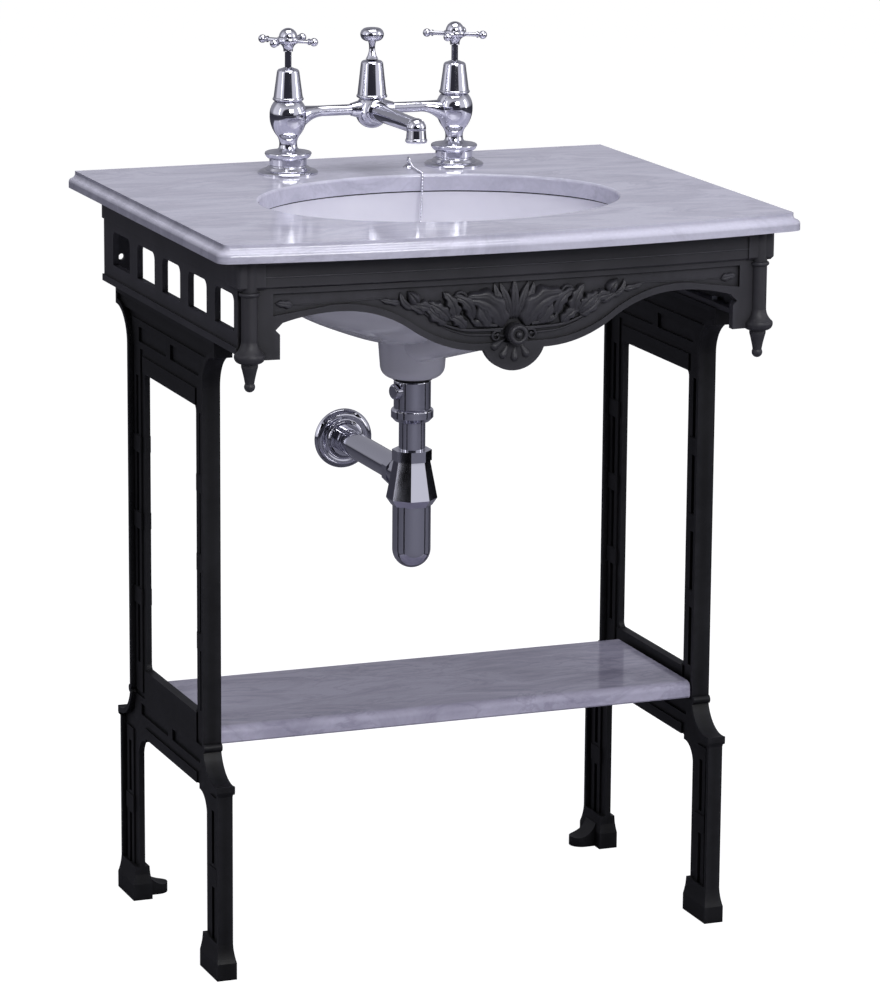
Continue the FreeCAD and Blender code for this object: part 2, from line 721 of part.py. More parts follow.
def basin_seal():
    base = point(0, CUTOUT_Y, BOWL_TOP_Z)
    outer = ellipse_prism(BOWL_RIM_A + SEAL_WIDTH, BOWL_RIM_B + SEAL_WIDTH, base, SEAL_THICKNESS)
    return outer.cut(ellipse_prism(BOWL_RIM_A, BOWL_RIM_B, base, SEAL_THICKNESS))


# Clips hold the bowl's flange at its four quarters: place and turn of each.
def clip_places():
    reach = CLIP_OVERHANG / 2
    return [
        (FLANGE_A + reach, CUTOUT_Y, 0),
        (0, CUTOUT_Y + FLANGE_B + reach, 90),
        (-FLANGE_A - reach, CUTOUT_Y, 180),
        (0, CUTOUT_Y - FLANGE_B - reach, 270),
    ]


def basin_clip(x, y, angle):
    reach = CLIP_OVERHANG / 2
    low = BOWL_FLANGE_BOTTOM_Z - CLIP_THICKNESS
    arm = box((-reach - CLIP_GRIP, -CLIP_WIDTH / 2, low), (reach, CLIP_WIDTH / 2, low + CLIP_THICKNESS))
    leg = box((reach - CLIP_THICKNESS, -CLIP_WIDTH / 2, low), (reach, CLIP_WIDTH / 2, TOP_UNDERSIDE))
    hole = rod(CLIP_SCREW_RADIUS + FIT_CLEARANCE, point(0, 0, low), point(0, 0, low + CLIP_THICKNESS))
    clip = merged([arm, leg]).cut(hole)
    return moved(spun(clip, angle), x, y)


def clip_screw(x, y):
    head_top = BOWL_FLANGE_BOTTOM_Z - CLIP_THICKNESS
    head = turned(
        (0, head_top - SCREW_HEAD_HEIGHT),
        [
            (2 * CLIP_SCREW_RADIUS - 1, head_top - SCREW_HEAD_HEIGHT),
            (2 * CLIP_SCREW_RADIUS, head_top),
            (0, head_top),
        ],
    )
    shank = rod(CLIP_SCREW_RADIUS, point(0, 0, head_top),
                point(0, 0, TOP_UNDERSIDE + CLIP_SCREW_DEPTH))
    return moved(merged([head, shank]), x, y)


# ---- apron ------------------------------------------------------------------------
# A slice of the bowed front wall, between two depths measured back from its face.
def bowed_slice(front, back, half, low, high):
    corner = APRON_CORNER_Y
    middle = APRON_CORNER_Y - APRON_BOW
    return prism(
        in_xy(low),
        (-half, corner + front),
        [
            (0, middle + front, half, corner + front),
            (half, corner + back),
            (0, middle + back, -half, corner + back),
        ],
        UP * (high - low),
    )


# Two tangent arcs that rise level from one place to level at another.
def level_rise(x0, z0, x1, z1):
    half_x = (x1 - x0) / 2
    half_z = (z1 - z0) / 2
    radius = (half_x ** 2 + half_z ** 2) / (2 * abs(half_z))
    turn = math.atan(abs(half_z / half_x))
    run = radius * math.sin(turn)
    rise = radius * (1 - math.cos(turn))
    run = math.copysign(run, half_x)
    rise = math.copysign(rise, half_z)
    return [
        (x0 + run, z0 + rise, x0 + half_x, z0 + half_z),
        (x1 - run, z1 - rise, x1, z1),
    ]


# Half of a level_rise: one arc that leaves level and ends sloping.
def level_fall(x0, z0, x1, z1):
    across = x1 - x0
    down = z1 - z0
    radius = (across ** 2 + down ** 2) / (2 * abs(down))
    turn = math.atan(abs(down / across))
    run = math.copysign(radius * math.sin(turn), across)
    drop = math.copysign(radius * (1 - math.cos(turn)), down)
    return [(x0 + run, z0 + drop, x1, z1)]


def reversed_moves(start, moves):
    places = [start] + [move[-2:] for move in moves]
    back = []
    for index in range(len(moves) - 1, -1, -1):
        end = places[index]
        back.append(end if len(moves[index]) == 2 else moves[index][:2] + end)
    return back


def mirrored_moves(moves):
    flipped = []
    for move in moves:
        flipped.append(tuple(-value if place % 2 == 0 else value for place, value in enumerate(move)))
    return flipped


# The scalloped lower edge, from the shell out to the corner block.
def scallop(lift):
    rise = level_rise(LOBE_HALF_WIDTH, LOBE_EDGE_Z + lift, ARCH_PEAK_X, ARCH_PEAK_Z + lift)
    fall = level_fall(ARCH_PEAK_X, ARCH_PEAK_Z + lift, ARCH_END_X, ARCH_END_Z + lift)
    return rise + fall


def apron_front_form():
    end_x = POST_X - POST_SHAFT_RADIUS / 2
    right = scallop(0) + [
        (NICK_X, BLOCK_TOP_Z + NICK_RISE),
        (BLOCK_X, BLOCK_TOP_Z),
        (BLOCK_X, APRON_BOTTOM_Z),
        (end_x, APRON_BOTTOM_Z),
        (end_x, TOP_UNDERSIDE),
    ]
    lobe_start = (LOBE_HALF_WIDTH, LOBE_EDGE_Z)
    left_back = reversed_moves((-LOBE_HALF_WIDTH, LOBE_EDGE_Z), mirrored_moves(right))
    lobe = [(0, LOBE_BOTTOM_Z, LOBE_HALF_WIDTH, LOBE_EDGE_Z)]
    front = APRON_CORNER_Y - APRON_BOW - 2 * BAND_PROJECTION
    moves = right + [(-end_x, TOP_UNDERSIDE)] + left_back + lobe
    return prism(in_xz(front), lobe_start, moves, BACK * (POST_JOINT_Y - front))


def apron_field_form():
    side = BLOCK_X + RIM_WIDTH
    right = scallop(RIM_WIDTH)[:-1] + [
        (ARCH_PEAK_X + RIM_WIDTH, ARCH_PEAK_Z + RIM_WIDTH),
        (side, ARCH_END_Z + RIM_WIDTH),
        (side, FIELD_TOP_Z),
    ]
    start = (LOBE_HALF_WIDTH, LOBE_EDGE_Z + RIM_WIDTH)
    left_back = reversed_moves((-start[0], start[1]), mirrored_moves(right))
    front = APRON_CORNER_Y - 2 * APRON_BOW
    moves = right + [(-side, FIELD_TOP_Z)] + left_back
    return prism(in_xz(front), start, moves, BACK * (2 * APRON_BOW + APRON_THICKNESS))


# The round shaft of a corner post, with its bead and its flared foot.
def post_form():
    bead_top = POST_CAP_BOTTOM_Z - POST_BEAD_GAP
    bead_low = bead_top - POST_BEAD_HEIGHT
    foot_bend = POST_FOOT_DROP
    neck_bend = POST_NECK_RISE / 2
    return turned(
        (0, POST_BOTTOM_Z),
        [
            (PENDANT_TOP_RADIUS + 1, POST_BOTTOM_Z),
            (POST_FLARE_RADIUS - 1, POST_BOTTOM_Z + foot_bend, POST_FLARE_RADIUS, POST_FLARE_Z),
            (POST_SHAFT_RADIUS + 2, POST_FLARE_Z + neck_bend,
             POST_SHAFT_RADIUS, POST_FLARE_Z + POST_NECK_RISE),
            (POST_SHAFT_RADIUS, bead_low),
            (POST_BEAD_RADIUS, (bead_low + bead_top) / 2, POST_SHAFT_RADIUS, bead_top),
            (POST_SHAFT_RADIUS, TOP_UNDERSIDE),
            (0, TOP_UNDERSIDE),
        ],
    )


# The cap of a corner post: a block with rounded corners and a chamfer below,
# which runs on along the side of the apron.
def post_cap():
    cap = box((POST_X - POST_CAP_HALF, POST_CAP_FRONT_Y, POST_CAP_BOTTOM_Z),
              (POST_X + POST_CAP_HALF, POST_CAP_REAR_Y, TOP_UNDERSIDE))
    upright = [edge for edge in cap.Edges
               if edge.BoundBox.ZLength > BAND_HEIGHT / 2 and edge.BoundBox.XMin > POST_X]
    cap = cap.makeFillet(POST_CAP_ROUND, upright)
    under = [edge for edge in cap.Edges
             if edge.BoundBox.ZMax < POST_CAP_BOTTOM_Z + POST_CAP_CHAMFER
             and edge.BoundBox.XMax > POST_X - POST_CAP_HALF + 1]
    return cap.makeChamfer(POST_CAP_CHAMFER, under)


# The corner post is cut flat where the apron's side butts against it.
def corner_post(side):
    post = merged([moved(post_form(), POST_X, POST_Y), post_cap()])
    keep = box((0, 2 * POST_Y, 0), (2 * POST_X, POST_JOINT_Y, TOP_HEIGHT))
    tabs = []
    for z in (TAB_LOW_Z, TAB_HIGH_Z):
        inner = APRON_SIDE_X - APRON_SIDE_WALL - TAB_THICKNESS
        low = (inner, POST_JOINT_Y - TAB_ROOT, z)
        high = (APRON_SIDE_X - APRON_SIDE_WALL, POST_JOINT_Y + TAB_LENGTH, z + TAB_HEIGHT)
        tabs.append(box(low, high))
    shape = merged([post.common(keep)] + tabs)
    for start, end in apron_bolt_lines():
        shape = shape.cut(rod(BOLT_HOLE_RADIUS, start, end))
    return on_side(shape, side)


def apron_bolt_lines():
    lines = []
    for z in (TAB_LOW_Z, TAB_HIGH_Z):
        y = POST_JOINT_Y + 0.6 * TAB_LENGTH
        height = z + TAB_HEIGHT / 2
        inner = APRON_SIDE_X - APRON_SIDE_WALL - TAB_THICKNESS
        lines.append((point(inner, y, height), point(APRON_SIDE_X - 2, y, height)))
    return lines


def apron_bolt(start, end):
    head = hexagon(BOLT_HEAD_RADIUS, start - ALONG * BOLT_HEAD_HEIGHT, start)
    return merged([head, rod(BOLT_RADIUS, start, end)])


# Drops that spread from the boss between two angles, in one upright plane.
def fan(count, spread, first_angle, length, radius, plane_y):
    drops = []
    for index in range(count):
        angle = first_angle + spread + index * (180 - 2 * spread) / (count - 1)
        turn = math.radians(angle)
        outward = point(math.cos(turn), 0, math.sin(turn)) * (SHELL_BOSS_RADIUS - SHELL_ROOT)
        start = point(0, plane_y, SHELL_BOSS_Z) + outward
        drops.append(drop(start, length, radius, angle))
    return drops


# A fan of petals above the boss, and short flutes on the round drop below it.
def shell_fans():
    wall_y = APRON_CORNER_Y - APRON_BOW
    petals = fan(SHELL_PETALS, SHELL_SPREAD, 0, SHELL_PETAL_LENGTH, SHELL_PETAL_RADIUS,
                 wall_y + FIELD_DEPTH + SHELL_SINK)
    flutes = fan(SHELL_FLUTES, FLUTE_SPREAD, 180, SHELL_FLUTE_LENGTH, SHELL_FLUTE_RADIUS,
                 wall_y + SHELL_SINK)
    return petals + flutes


# The boss in the middle of the shell: a disc with a ring and a button on its face.
def shell_boss():
    wall_y = APRON_CORNER_Y - APRON_BOW
    middle = point(0, wall_y - SHELL_BOSS_RELIEF, SHELL_BOSS_Z)
    disc = rod(SHELL_BOSS_RADIUS, point(0, wall_y + APRON_THICKNESS - SHELL_SINK, SHELL_BOSS_Z), middle)
    ring = Part.makeTorus(SHELL_BOSS_RADIUS - 1.3 * SHELL_RING_RADIUS, SHELL_RING_RADIUS, middle, BACK)
    return [disc, ring, ball(SHELL_BUTTON_RADIUS, middle)]


def apron_front():
    half = POST_X
    wall = bowed_slice(0, APRON_THICKNESS, half, LOBE_BOTTOM_Z, TOP_UNDERSIDE)
    band = bowed_slice(-BAND_PROJECTION, APRON_THICKNESS, half, BAND_BOTTOM_Z, TOP_UNDERSIDE)
    wall = merged([wall, band]).common(apron_front_form())
    field = apron_field_form().common(
        bowed_slice(-1, FIELD_DEPTH, half, LOBE_EDGE_Z, BAND_BOTTOM_Z))
    wall = wall.cut(field)
    bead = bead_along_front()
    posts = [corner_post(LEFT), corner_post(RIGHT)]
    whole = merged([wall, bead] + posts + shell_boss())
    whole = merged([whole] + shell_fans())
    for side in (LEFT, RIGHT):
        bottom = point(side * POST_X, POST_Y, 0)
        whole = whole.cut(rod(PENDANT_SPIGOT_RADIUS + FIT_CLEARANCE, bottom + UP * POST_BOTTOM_Z,
                              bottom + UP * (POST_BOTTOM_Z + PENDANT_SPIGOT_LENGTH + FIT_CLEARANCE)))
    return whole


# A half-round bead under the band, turned about the centre of the front's bow.
def bead_along_front():
    half = POST_X - POST_SHAFT_RADIUS / 2
    front_radius = (POST_X ** 2 + APRON_BOW ** 2) / (2 * APRON_BOW)
    centre = point(0, APRON_CORNER_Y - APRON_BOW + front_radius, BAND_BOTTOM_Z)
    turn = math.degrees(math.asin(half / front_radius))
    section = Part.Face(circle_wire(BEAD_RADIUS, centre - BACK * front_radius, ALONG))
    section.rotate(centre, UP, -turn)
    return section.revolve(centre, UP, 2 * turn)


def pendant(side):
    top = POST_BOTTOM_Z
    ball_z = PENDANT_TIP_Z + PENDANT_BALL_RADIUS
    neck_z = ball_z + math.sqrt(PENDANT_BALL_RADIUS ** 2 - PENDANT_NECK_RADIUS ** 2)
    shape = turned(
        (0, PENDANT_TIP_Z),
        [
            (PENDANT_BALL_RADIUS, ball_z, PENDANT_NECK_RADIUS, neck_z),
            (PENDANT_TOP_RADIUS - 2, (top + neck_z) / 2, PENDANT_TOP_RADIUS, top - 4),
            (PENDANT_TOP_RADIUS, top),
            (PENDANT_SPIGOT_RADIUS, top),
            (PENDANT_SPIGOT_RADIUS, top + PENDANT_SPIGOT_LENGTH),
            (0, top + PENDANT_SPIGOT_LENGTH),
        ],
    )
    return moved(shape, side * POST_X, POST_Y)


def side_window(index):
    middle = WINDOW_REAR_Y - index * WINDOW_PITCH
    near = middle - WINDOW_WIDTH / 2
    far = middle + WINDOW_WIDTH / 2
    shoulder = WINDOW_TOP_Z - WINDOW_SHOULDER
    bend = WINDOW_SHOULDER * (1 - math.sqrt(0.5))
    return prism(
        in_yz(APRON_SIDE_X - 2 * APRON_SIDE_WALL),
        (near, WINDOW_BOTTOM_Z),
        [
            (far, WINDOW_BOTTOM_Z),
            (far, shoulder),
            (far - bend, WINDOW_TOP_Z - bend, far - WINDOW_SHOULDER, WINDOW_TOP_Z),
            (near + WINDOW_SHOULDER, WINDOW_TOP_Z),
            (near + bend, WINDOW_TOP_Z - bend, near, shoulder),
        ],
        ALONG * (4 * APRON_SIDE_WALL),
    )


def apron_side(side):
    inner = APRON_SIDE_X - APRON_SIDE_WALL
    panel = box((inner, POST_JOINT_Y, FRAME_JOINT_Z), (APRON_SIDE_X, APRON_REAR_Y, TOP_UNDERSIDE))
    panel = panel.cut([side_window(index) for index in range(WINDOWS)])
    proud = APRON_SIDE_X + SIDE_BAND_PROJECTION
    band = box((inner, POST_JOINT_Y, BAND_BOTTOM_Z), (proud, APRON_REAR_Y, TOP_UNDERSIDE))
    ledge = box((inner, POST_JOINT_Y, FRAME_JOINT_Z), (proud, APRON_REAR_Y, SIDE_LEDGE_TOP_Z))
    foot_inner = APRON_SIDE_X - SIDE_FOOT_WIDTH
    foot_front = POST_JOINT_Y + TAB_LENGTH + TAB_GAP
    foot = box((foot_inner, foot_front, FRAME_JOINT_Z),
               (APRON_SIDE_X, APRON_REAR_Y, FRAME_JOINT_Z + SIDE_FOOT_THICKNESS))
    back = box((APRON_SIDE_X - RETURN_WIDTH, APRON_REAR_Y - APRON_SIDE_WALL, FRAME_JOINT_Z),
               (APRON_SIDE_X, APRON_REAR_Y, TOP_UNDERSIDE))
    beside = box((inner, POST_JOINT_Y, FRAME_JOINT_Z), (2 * POST_X, 0, TOP_UNDERSIDE))
    shape = merged([panel, band, ledge, foot, back, post_cap().common(beside)])
    for z in (WALL_HOLE_LOW_Z, WALL_HOLE_HIGH_Z):
        shape = shape.cut(rod(WALL_HOLE_RADIUS, point(WALL_HOLE_X, APRON_REAR_Y - 2 * APRON_SIDE_WALL, z),
                              point(WALL_HOLE_X, APRON_REAR_Y + 1, z)))
    for start, end in apron_bolt_lines():
        shape = shape.cut(rod(BOLT_RADIUS + FIT_CLEARANCE, start, end + ALONG * FIT_CLEARANCE))
    for x, y in frame_bolt_places():
        shape = shape.cut(rod(FRAME_BOLT_RADIUS + BOLT_HOLE_GAP, point(x, y, FRAME_JOINT_Z),
                              point(x, y, FRAME_JOINT_Z + SIDE_FOOT_THICKNESS)))
    return on_side(shape, side)


# ---- side frames --------------------------------------------------------------------
def frame_bolt_places():
    x = APRON_SIDE_X - APRON_SIDE_WALL - FRAME_BOLT_HEAD_RADIUS - BOLT_HOLE_GAP
    reach = UPRIGHT_OUTER + BRACKET_RADIUS / 2
    return [(x, FRAME_CENTRE_Y - reach), (x, FRAME_CENTRE_Y + reach)]


# Bolts hold the apron's foot down on the frame's top bar.
def frame_bolt(x, y):
    seat = FRAME_JOINT_Z + SIDE_FOOT_THICKNESS
    head = hexagon(FRAME_BOLT_HEAD_RADIUS, point(x, y, seat), point(x, y, seat + BOLT_HEAD_HEIGHT))
    return merged([head, rod(FRAME_BOLT_RADIUS, point(x, y, FRAME_JOINT_Z - FRAME_BOLT_DEPTH),
                             point(x, y, seat))])


# Half of the frame's outline in the plane of the frame. The first number is the
# distance from the frame's middle.
def frame_half_moves():
    bracket_top = BRACKET_TOP_Z
    bend = BRACKET_RADIUS * (1 - math.sqrt(0.5))
    ledge_bend_u = LEDGE_HALF - UPRIGHT_OUTER
    ledge_bend_z = LEDGE_CURVE_Z - LEDGE_TOP_Z
    capital_u = LEG_INNER - CAPITAL_HALF
    capital_z = RAIL_BOTTOM_Z - 6 - CAPITAL_FOOT_Z
    quarter = 1 - math.sqrt(0.5)
    return [
        (FRAME_TOP_HALF, FRAME_JOINT_Z),
        (FRAME_TOP_HALF, bracket_top),
        (BRACKET_HALF, bracket_top),
        (UPRIGHT_OUTER + bend, bracket_top - bend, UPRIGHT_OUTER, bracket_top - BRACKET_RADIUS),
        (UPRIGHT_OUTER, NUB_Z + NUB_RADIUS),
        (UPRIGHT_OUTER + NUB_RADIUS, NUB_Z, UPRIGHT_OUTER, NUB_Z - NUB_RADIUS),
        (UPRIGHT_OUTER + quarter * ledge_bend_u, LEDGE_TOP_Z + quarter * ledge_bend_z,
         LEDGE_HALF, LEDGE_TOP_Z),
        (LEDGE_HALF, LEDGE_BOTTOM_Z + 3),
        (LEG_OUTER, LEDGE_BOTTOM_Z - 3),
        (LEG_OUTER, FOOT_CURVE_Z),
        (LEG_OUTER + 2, FOOT_TOP_Z + 8, FOOT_HALF, FOOT_TOP_Z),
        (FOOT_HALF, 0),
        (LEG_INNER - 2, 0),
        (LEG_INNER - 2, FOOT_TOP_Z),
        (LEG_INNER, FOOT_CURVE_Z - 10),
        (LEG_INNER, CAPITAL_FOOT_Z),
        (LEG_INNER - quarter * capital_u, CAPITAL_FOOT_Z + (1 - quarter) * capital_z,
         CAPITAL_HALF, RAIL_BOTTOM_Z - 6),
        (CAPITAL_HALF, RAIL_BOTTOM_Z),
        (0, RAIL_BOTTOM_Z),
    ]


def frame_half_plate(low_x, high_x):
    plate = prism(in_yz(low_x), (0, FRAME_JOINT_Z), frame_half_moves(), ALONG * (high_x - low_x))
    opening = box((low_x - 1, -UPRIGHT_INNER, WINDOW_LOW_Z), (high_x + 1, UPRIGHT_INNER, WINDOW_HIGH_Z))
    corners = [edge for edge in opening.Edges if edge.BoundBox.XLength > 1]
    return plate.cut(opening.makeFillet(WINDOW_CORNER, corners))


# The raised rim along the outer edge, left where the plate is cut back by the
# rim's width.
def frame_half_rim():
    outline = closed_wire(in_yz(0), (0, FRAME_JOINT_Z), frame_half_moves())
    inside = Part.Face(outline.makeOffset2D(-FRAME_RIM))
    ring = Part.Face(outline).cut(inside)
    split_z = LEDGE_BOTTOM_Z
    upright = ring.extrude(ALONG * FRAME_FLANGE_DEPTH)
    upright_middle = (UPRIGHT_INNER + UPRIGHT_OUTER) / 2
    leg_middle = (LEG_INNER + LEG_OUTER) / 2
    far = (FRAME_OUTER_X, 2 * FOOT_HALF)
    upright = upright.common(box((0, upright_middle, split_z), (*far, TOP_HEIGHT)))
    upper = box((0, 0, FRAME_JOINT_Z - FRAME_RIM), (FRAME_FLANGE_DEPTH, FRAME_TOP_HALF, FRAME_JOINT_Z))
    leg_in = (FRAME_FLANGE_DEPTH - LEG_FLANGE_DEPTH) / 2
    leg = moved(ring.extrude(ALONG * LEG_FLANGE_DEPTH), leg_in)
    leg = leg.common(box((0, leg_middle, 0), (*far, split_z)))
    return moved(merged([upright, upper, leg]), FRAME_INNER_X)


# The foot block, thicker than the leg and flaring to both faces of the frame.
def frame_half_foot():
    middle = FRAME_MIDDLE_X
    half = FOOT_DEPTH / 2
    thin = LEG_FLANGE_DEPTH / 2
    flare = (half + thin) / 2
    block = prism(
        in_xz(0),
        (middle - half, 0),
        [
            (middle + half, 0),
            (middle + half, FOOT_TOP_Z),
            (middle + flare, FOOT_TOP_Z + 8, middle + thin, FOOT_CURVE_Z),
            (middle - thin, FOOT_CURVE_Z),
            (middle - flare, FOOT_TOP_Z + 8, middle - half, FOOT_TOP_Z),
        ],
        BACK * (2 * FOOT_HALF),
    )
    outline = prism(in_yz(0), (0, FRAME_JOINT_Z), frame_half_moves(), ALONG * (2 * middle))
    return block.common(outline)


# A raised band with a chain of recessed slots and proud blocks between them.
def slotted_band(middle, low, high, first, pitch, count, length):
    face = FRAME_MIDDLE_X + FRAME_WEB / 2
    band = box((face, middle - BAND_WIDTH / 2, low), (face + BAND_RELIEF, middle + BAND_WIDTH / 2, high))
    slots = []
    blocks = []
    for index in range(count):
        z = first - index * pitch
        slots.append(box((face + BAND_RELIEF - SLOT_DEPTH, middle - SLOT_WIDTH / 2, z - length / 2),
                         (face + BAND_RELIEF + 1, middle + SLOT_WIDTH / 2, z + length / 2)))
        if index < count - 1:
            block_z = z - pitch / 2
            blocks.append(box((face, middle - BLOCK_WIDTH / 2, block_z - BLOCK_HEIGHT / 2),
                              (face + BAND_RELIEF + BLOCK_RELIEF, middle + BLOCK_WIDTH / 2,
                               block_z + BLOCK_HEIGHT / 2)))
    return [band] + blocks, slots


# Mouldings on one face of a half frame: what is added and what is cut.
def face_mouldings():
    face = FRAME_MIDDLE_X + FRAME_WEB / 2
    upright_middle = (UPRIGHT_OUTER + UPRIGHT_INNER) / 2
    leg_middle = (LEG_OUTER + LEG_INNER) / 2
    adds, cuts = slotted_band(upright_middle, WINDOW_LOW_Z - 30, WINDOW_HIGH_Z + 30,
                              SLOT_FIRST_Z, SLOT_PITCH, UPRIGHT_SLOTS, SLOT_LENGTH)
    leg_adds, leg_cuts = slotted_band(leg_middle, FOOT_CURVE_Z - 14, RAIL_BOTTOM_Z,
                                      LEG_SLOT_FIRST_Z, LEG_SLOT_PITCH, LEG_SLOTS, LEG_SLOT_LENGTH)
    adds += leg_adds
    cuts += leg_cuts
    outer = face + BAND_RELIEF
    panels = ((HIGH_PANEL_BOTTOM_Z, HIGH_PANEL_HEIGHT), (LOW_PANEL_BOTTOM_Z, LOW_PANEL_HEIGHT))
    for bottom, height in panels:
        far = UPRIGHT_OUTER - FRAME_RIM / 2
        adds.append(box((face, 0, bottom - 8), (outer, far, bottom + height + 8)))
        cuts.append(box((outer - SLOT_DEPTH, RAIL_PANEL_NEAR, bottom),
                        (outer + 1, RAIL_PANEL_FAR, bottom + height)))
    for low, high in ((WINDOW_HIGH_Z, WINDOW_HIGH_Z + 20), (LEDGE_BOTTOM_Z - 9, LEDGE_BOTTOM_Z + 4),
                      (WINDOW_LOW_Z - 36, WINDOW_LOW_Z)):
        adds.append(box((face, 0, low), (outer, UPRIGHT_INNER + 2, high)))
    adds.append(box((face, 0, BRACKET_TOP_Z), (face + FRAME_BAR_RELIEF, FRAME_TOP_HALF, FRAME_JOINT_Z)))
    return adds, cuts


def toe():
    middle = FRAME_CENTRE_Y + (LEG_OUTER + LEG_INNER) / 2
    root = FRAME_MIDDLE_X
    tip = FRAME_INNER_X - TOE_LENGTH
    profile = prism(
        in_xz(middle - TOE_HALF_WIDTH),
        (root, 0),
        [
            (tip, 0),
            (tip, TOE_TIP_Z),
            ((tip + FRAME_INNER_X) / 2 + 3, TOE_TIP_Z + 3, FRAME_INNER_X, TOE_ROOT_Z),
            (root, TOE_ROOT_Z),
        ],
        BACK * (2 * TOE_HALF_WIDTH),
    )
    plan = prism(
        in_xy(0),
        (root, middle - TOE_HALF_WIDTH),
        [
            (tip + TOE_HALF_WIDTH, middle - TOE_HALF_WIDTH),
            (tip, middle, tip + TOE_HALF_WIDTH, middle + TOE_HALF_WIDTH),
            (root, middle + TOE_HALF_WIDTH),
        ],
        UP * TOE_ROOT_Z,
    )
    return profile.common(plan)


def side_frame(side):
    web = frame_half_plate(FRAME_MIDDLE_X - FRAME_WEB / 2, FRAME_MIDDLE_X + FRAME_WEB / 2)
    adds, cuts = face_mouldings()
    middle_plane = point(FRAME_MIDDLE_X, 0, 0)
    adds += [shape.mirror(middle_plane, ALONG) for shape in adds]
    cuts += [shape.mirror(middle_plane, ALONG) for shape in cuts]
    strip_x = FRAME_INNER_X - STRIP_DEPTH + BAND_RELIEF
    strip = box((strip_x, 0, STRIP_TOP_Z - STRIP_THICKNESS), (FRAME_MIDDLE_X, STRIP_HALF, STRIP_TOP_Z))
    half = merged([web, frame_half_rim(), frame_half_foot()] + adds + [strip]).cut(cuts)
    whole = merged([half, half.mirror(ORIGIN, BACK)])
    whole = merged([moved(whole, y=FRAME_CENTRE_Y), toe()])
    for x, y in frame_bolt_places():
        whole = whole.cut(rod(FRAME_BOLT_RADIUS + FIT_CLEARANCE,
                              point(x, y, FRAME_JOINT_Z - FRAME_BOLT_DEPTH - FIT_CLEARANCE),
                              point(x, y, FRAME_JOINT_Z)))
    return on_side(whole, side)


# ---- shelf ------------------------------------------------------------------------
def shelf_slab():
    nose = SHELF_NOSE
    slab = prism(
        in_yz(-SHELF_HALF_LENGTH),
        (SHELF_REAR_Y, SHELF_BOTTOM_Z),
        [
            (SHELF_REAR_Y, SHELF_TOP_Z),
            (SHELF_FRONT_Y + nose, SHELF_TOP_Z),
            (SHELF_FRONT_Y + nose * (1 - math.sqrt(0.5)), SHELF_TOP_Z - nose * (1 - math.sqrt(0.5)),
             SHELF_FRONT_Y, SHELF_TOP_Z - nose),
            (SHELF_FRONT_Y, SHELF_BOTTOM_Z + 2),
            (SHELF_FRONT_Y + 2, SHELF_BOTTOM_Z),
        ],
        ALONG * (2 * SHELF_HALF_LENGTH),
    )
    return slab


def shelf_pad_places():
    x = FRAME_INNER_X - STRIP_DEPTH / 2
    return [(side * x, y) for side in (LEFT, RIGHT)
            for y in (FRAME_CENTRE_Y - STRIP_HALF + PAD_INSET_Y, SHELF_REAR_Y - PAD_INSET_Y)]


def shelf_pad(x, y):
    return rod(PAD_RADIUS, point(x, y, STRIP_TOP_Z), point(x, y, SHELF_BOTTOM_Z))


# ---- taps -------------------------------------------------------------------------
def at_tap(shape, side):
    return moved(shape, side * TAP_X, TAP_Y)


def tap_base(side):
    deck = TOP_HEIGHT
    flange_top = deck + TAP_FLANGE_HEIGHT
    waist_top = TAP_RING_Z - 7
    groove = SHANK_RADIUS - TAIL_GROOVE_DEPTH
    groove_low = SHANK_BOTTOM_Z + TAIL_THREAD_LENGTH
    shape = turned(
        (SHANK_BORE, SHANK_BOTTOM_Z),
        [
            (SHANK_RADIUS, SHANK_BOTTOM_Z),
            (SHANK_RADIUS, groove_low),
            (groove, groove_low + TAIL_GROOVE_DEPTH),
            (groove, groove_low + TAIL_GROOVE_DEPTH + TAIL_GROOVE_WIDTH),
            (SHANK_RADIUS, groove_low + 2 * TAIL_GROOVE_DEPTH + TAIL_GROOVE_WIDTH),
            (SHANK_RADIUS, deck),
            (TAP_FLANGE_RADIUS, deck),
            (TAP_FLANGE_RADIUS, deck + 2),
            (TAP_FLANGE_RADIUS - 3, flange_top - 0.6, TAP_WAIST_RADIUS + 5, flange_top),
            (TAP_WAIST_RADIUS + 3, flange_top + 3),
            (TAP_WAIST_RADIUS, flange_top + 3.5, TAP_WAIST_RADIUS, flange_top + 6),
            (TAP_WAIST_RADIUS, waist_top),
            (TAP_WAIST_RADIUS + 3, waist_top + 1.5, TAP_RING_RADIUS, TAP_RING_Z - 2),
            (TAP_RING_RADIUS + 0.4, TAP_RING_Z, TAP_RING_RADIUS - 2, TAP_RING_Z + 1.5),
            (TAP_NECK_RADIUS + 4, TAP_RING_Z + 3, TAP_NECK_RADIUS, TAP_NECK_Z),
            (SHANK_BORE, TAP_NECK_Z),
        ],
    )
    return at_tap(shape, side)


def tap_ball_form():
    top_radius = BONNET_TOP_RADIUS + 2
    return turned(
        (0, TAP_NECK_Z),
        [
            (TAP_NECK_RADIUS, TAP_NECK_Z),
            (TAP_NECK_RADIUS - 0.6, TAP_NECK_Z + 8, TAP_NECK_RADIUS + 2.5, TAP_NECK_Z + 15),
            (TAP_BALL_RADIUS - 1.5, TAP_BALL_Z - 11, TAP_BALL_RADIUS, TAP_BALL_Z + 1),
            (TAP_BALL_RADIUS - 2, TAP_BALL_Z + 11, top_radius, BONNET_Z),
            (0, BONNET_Z),
        ],
    )


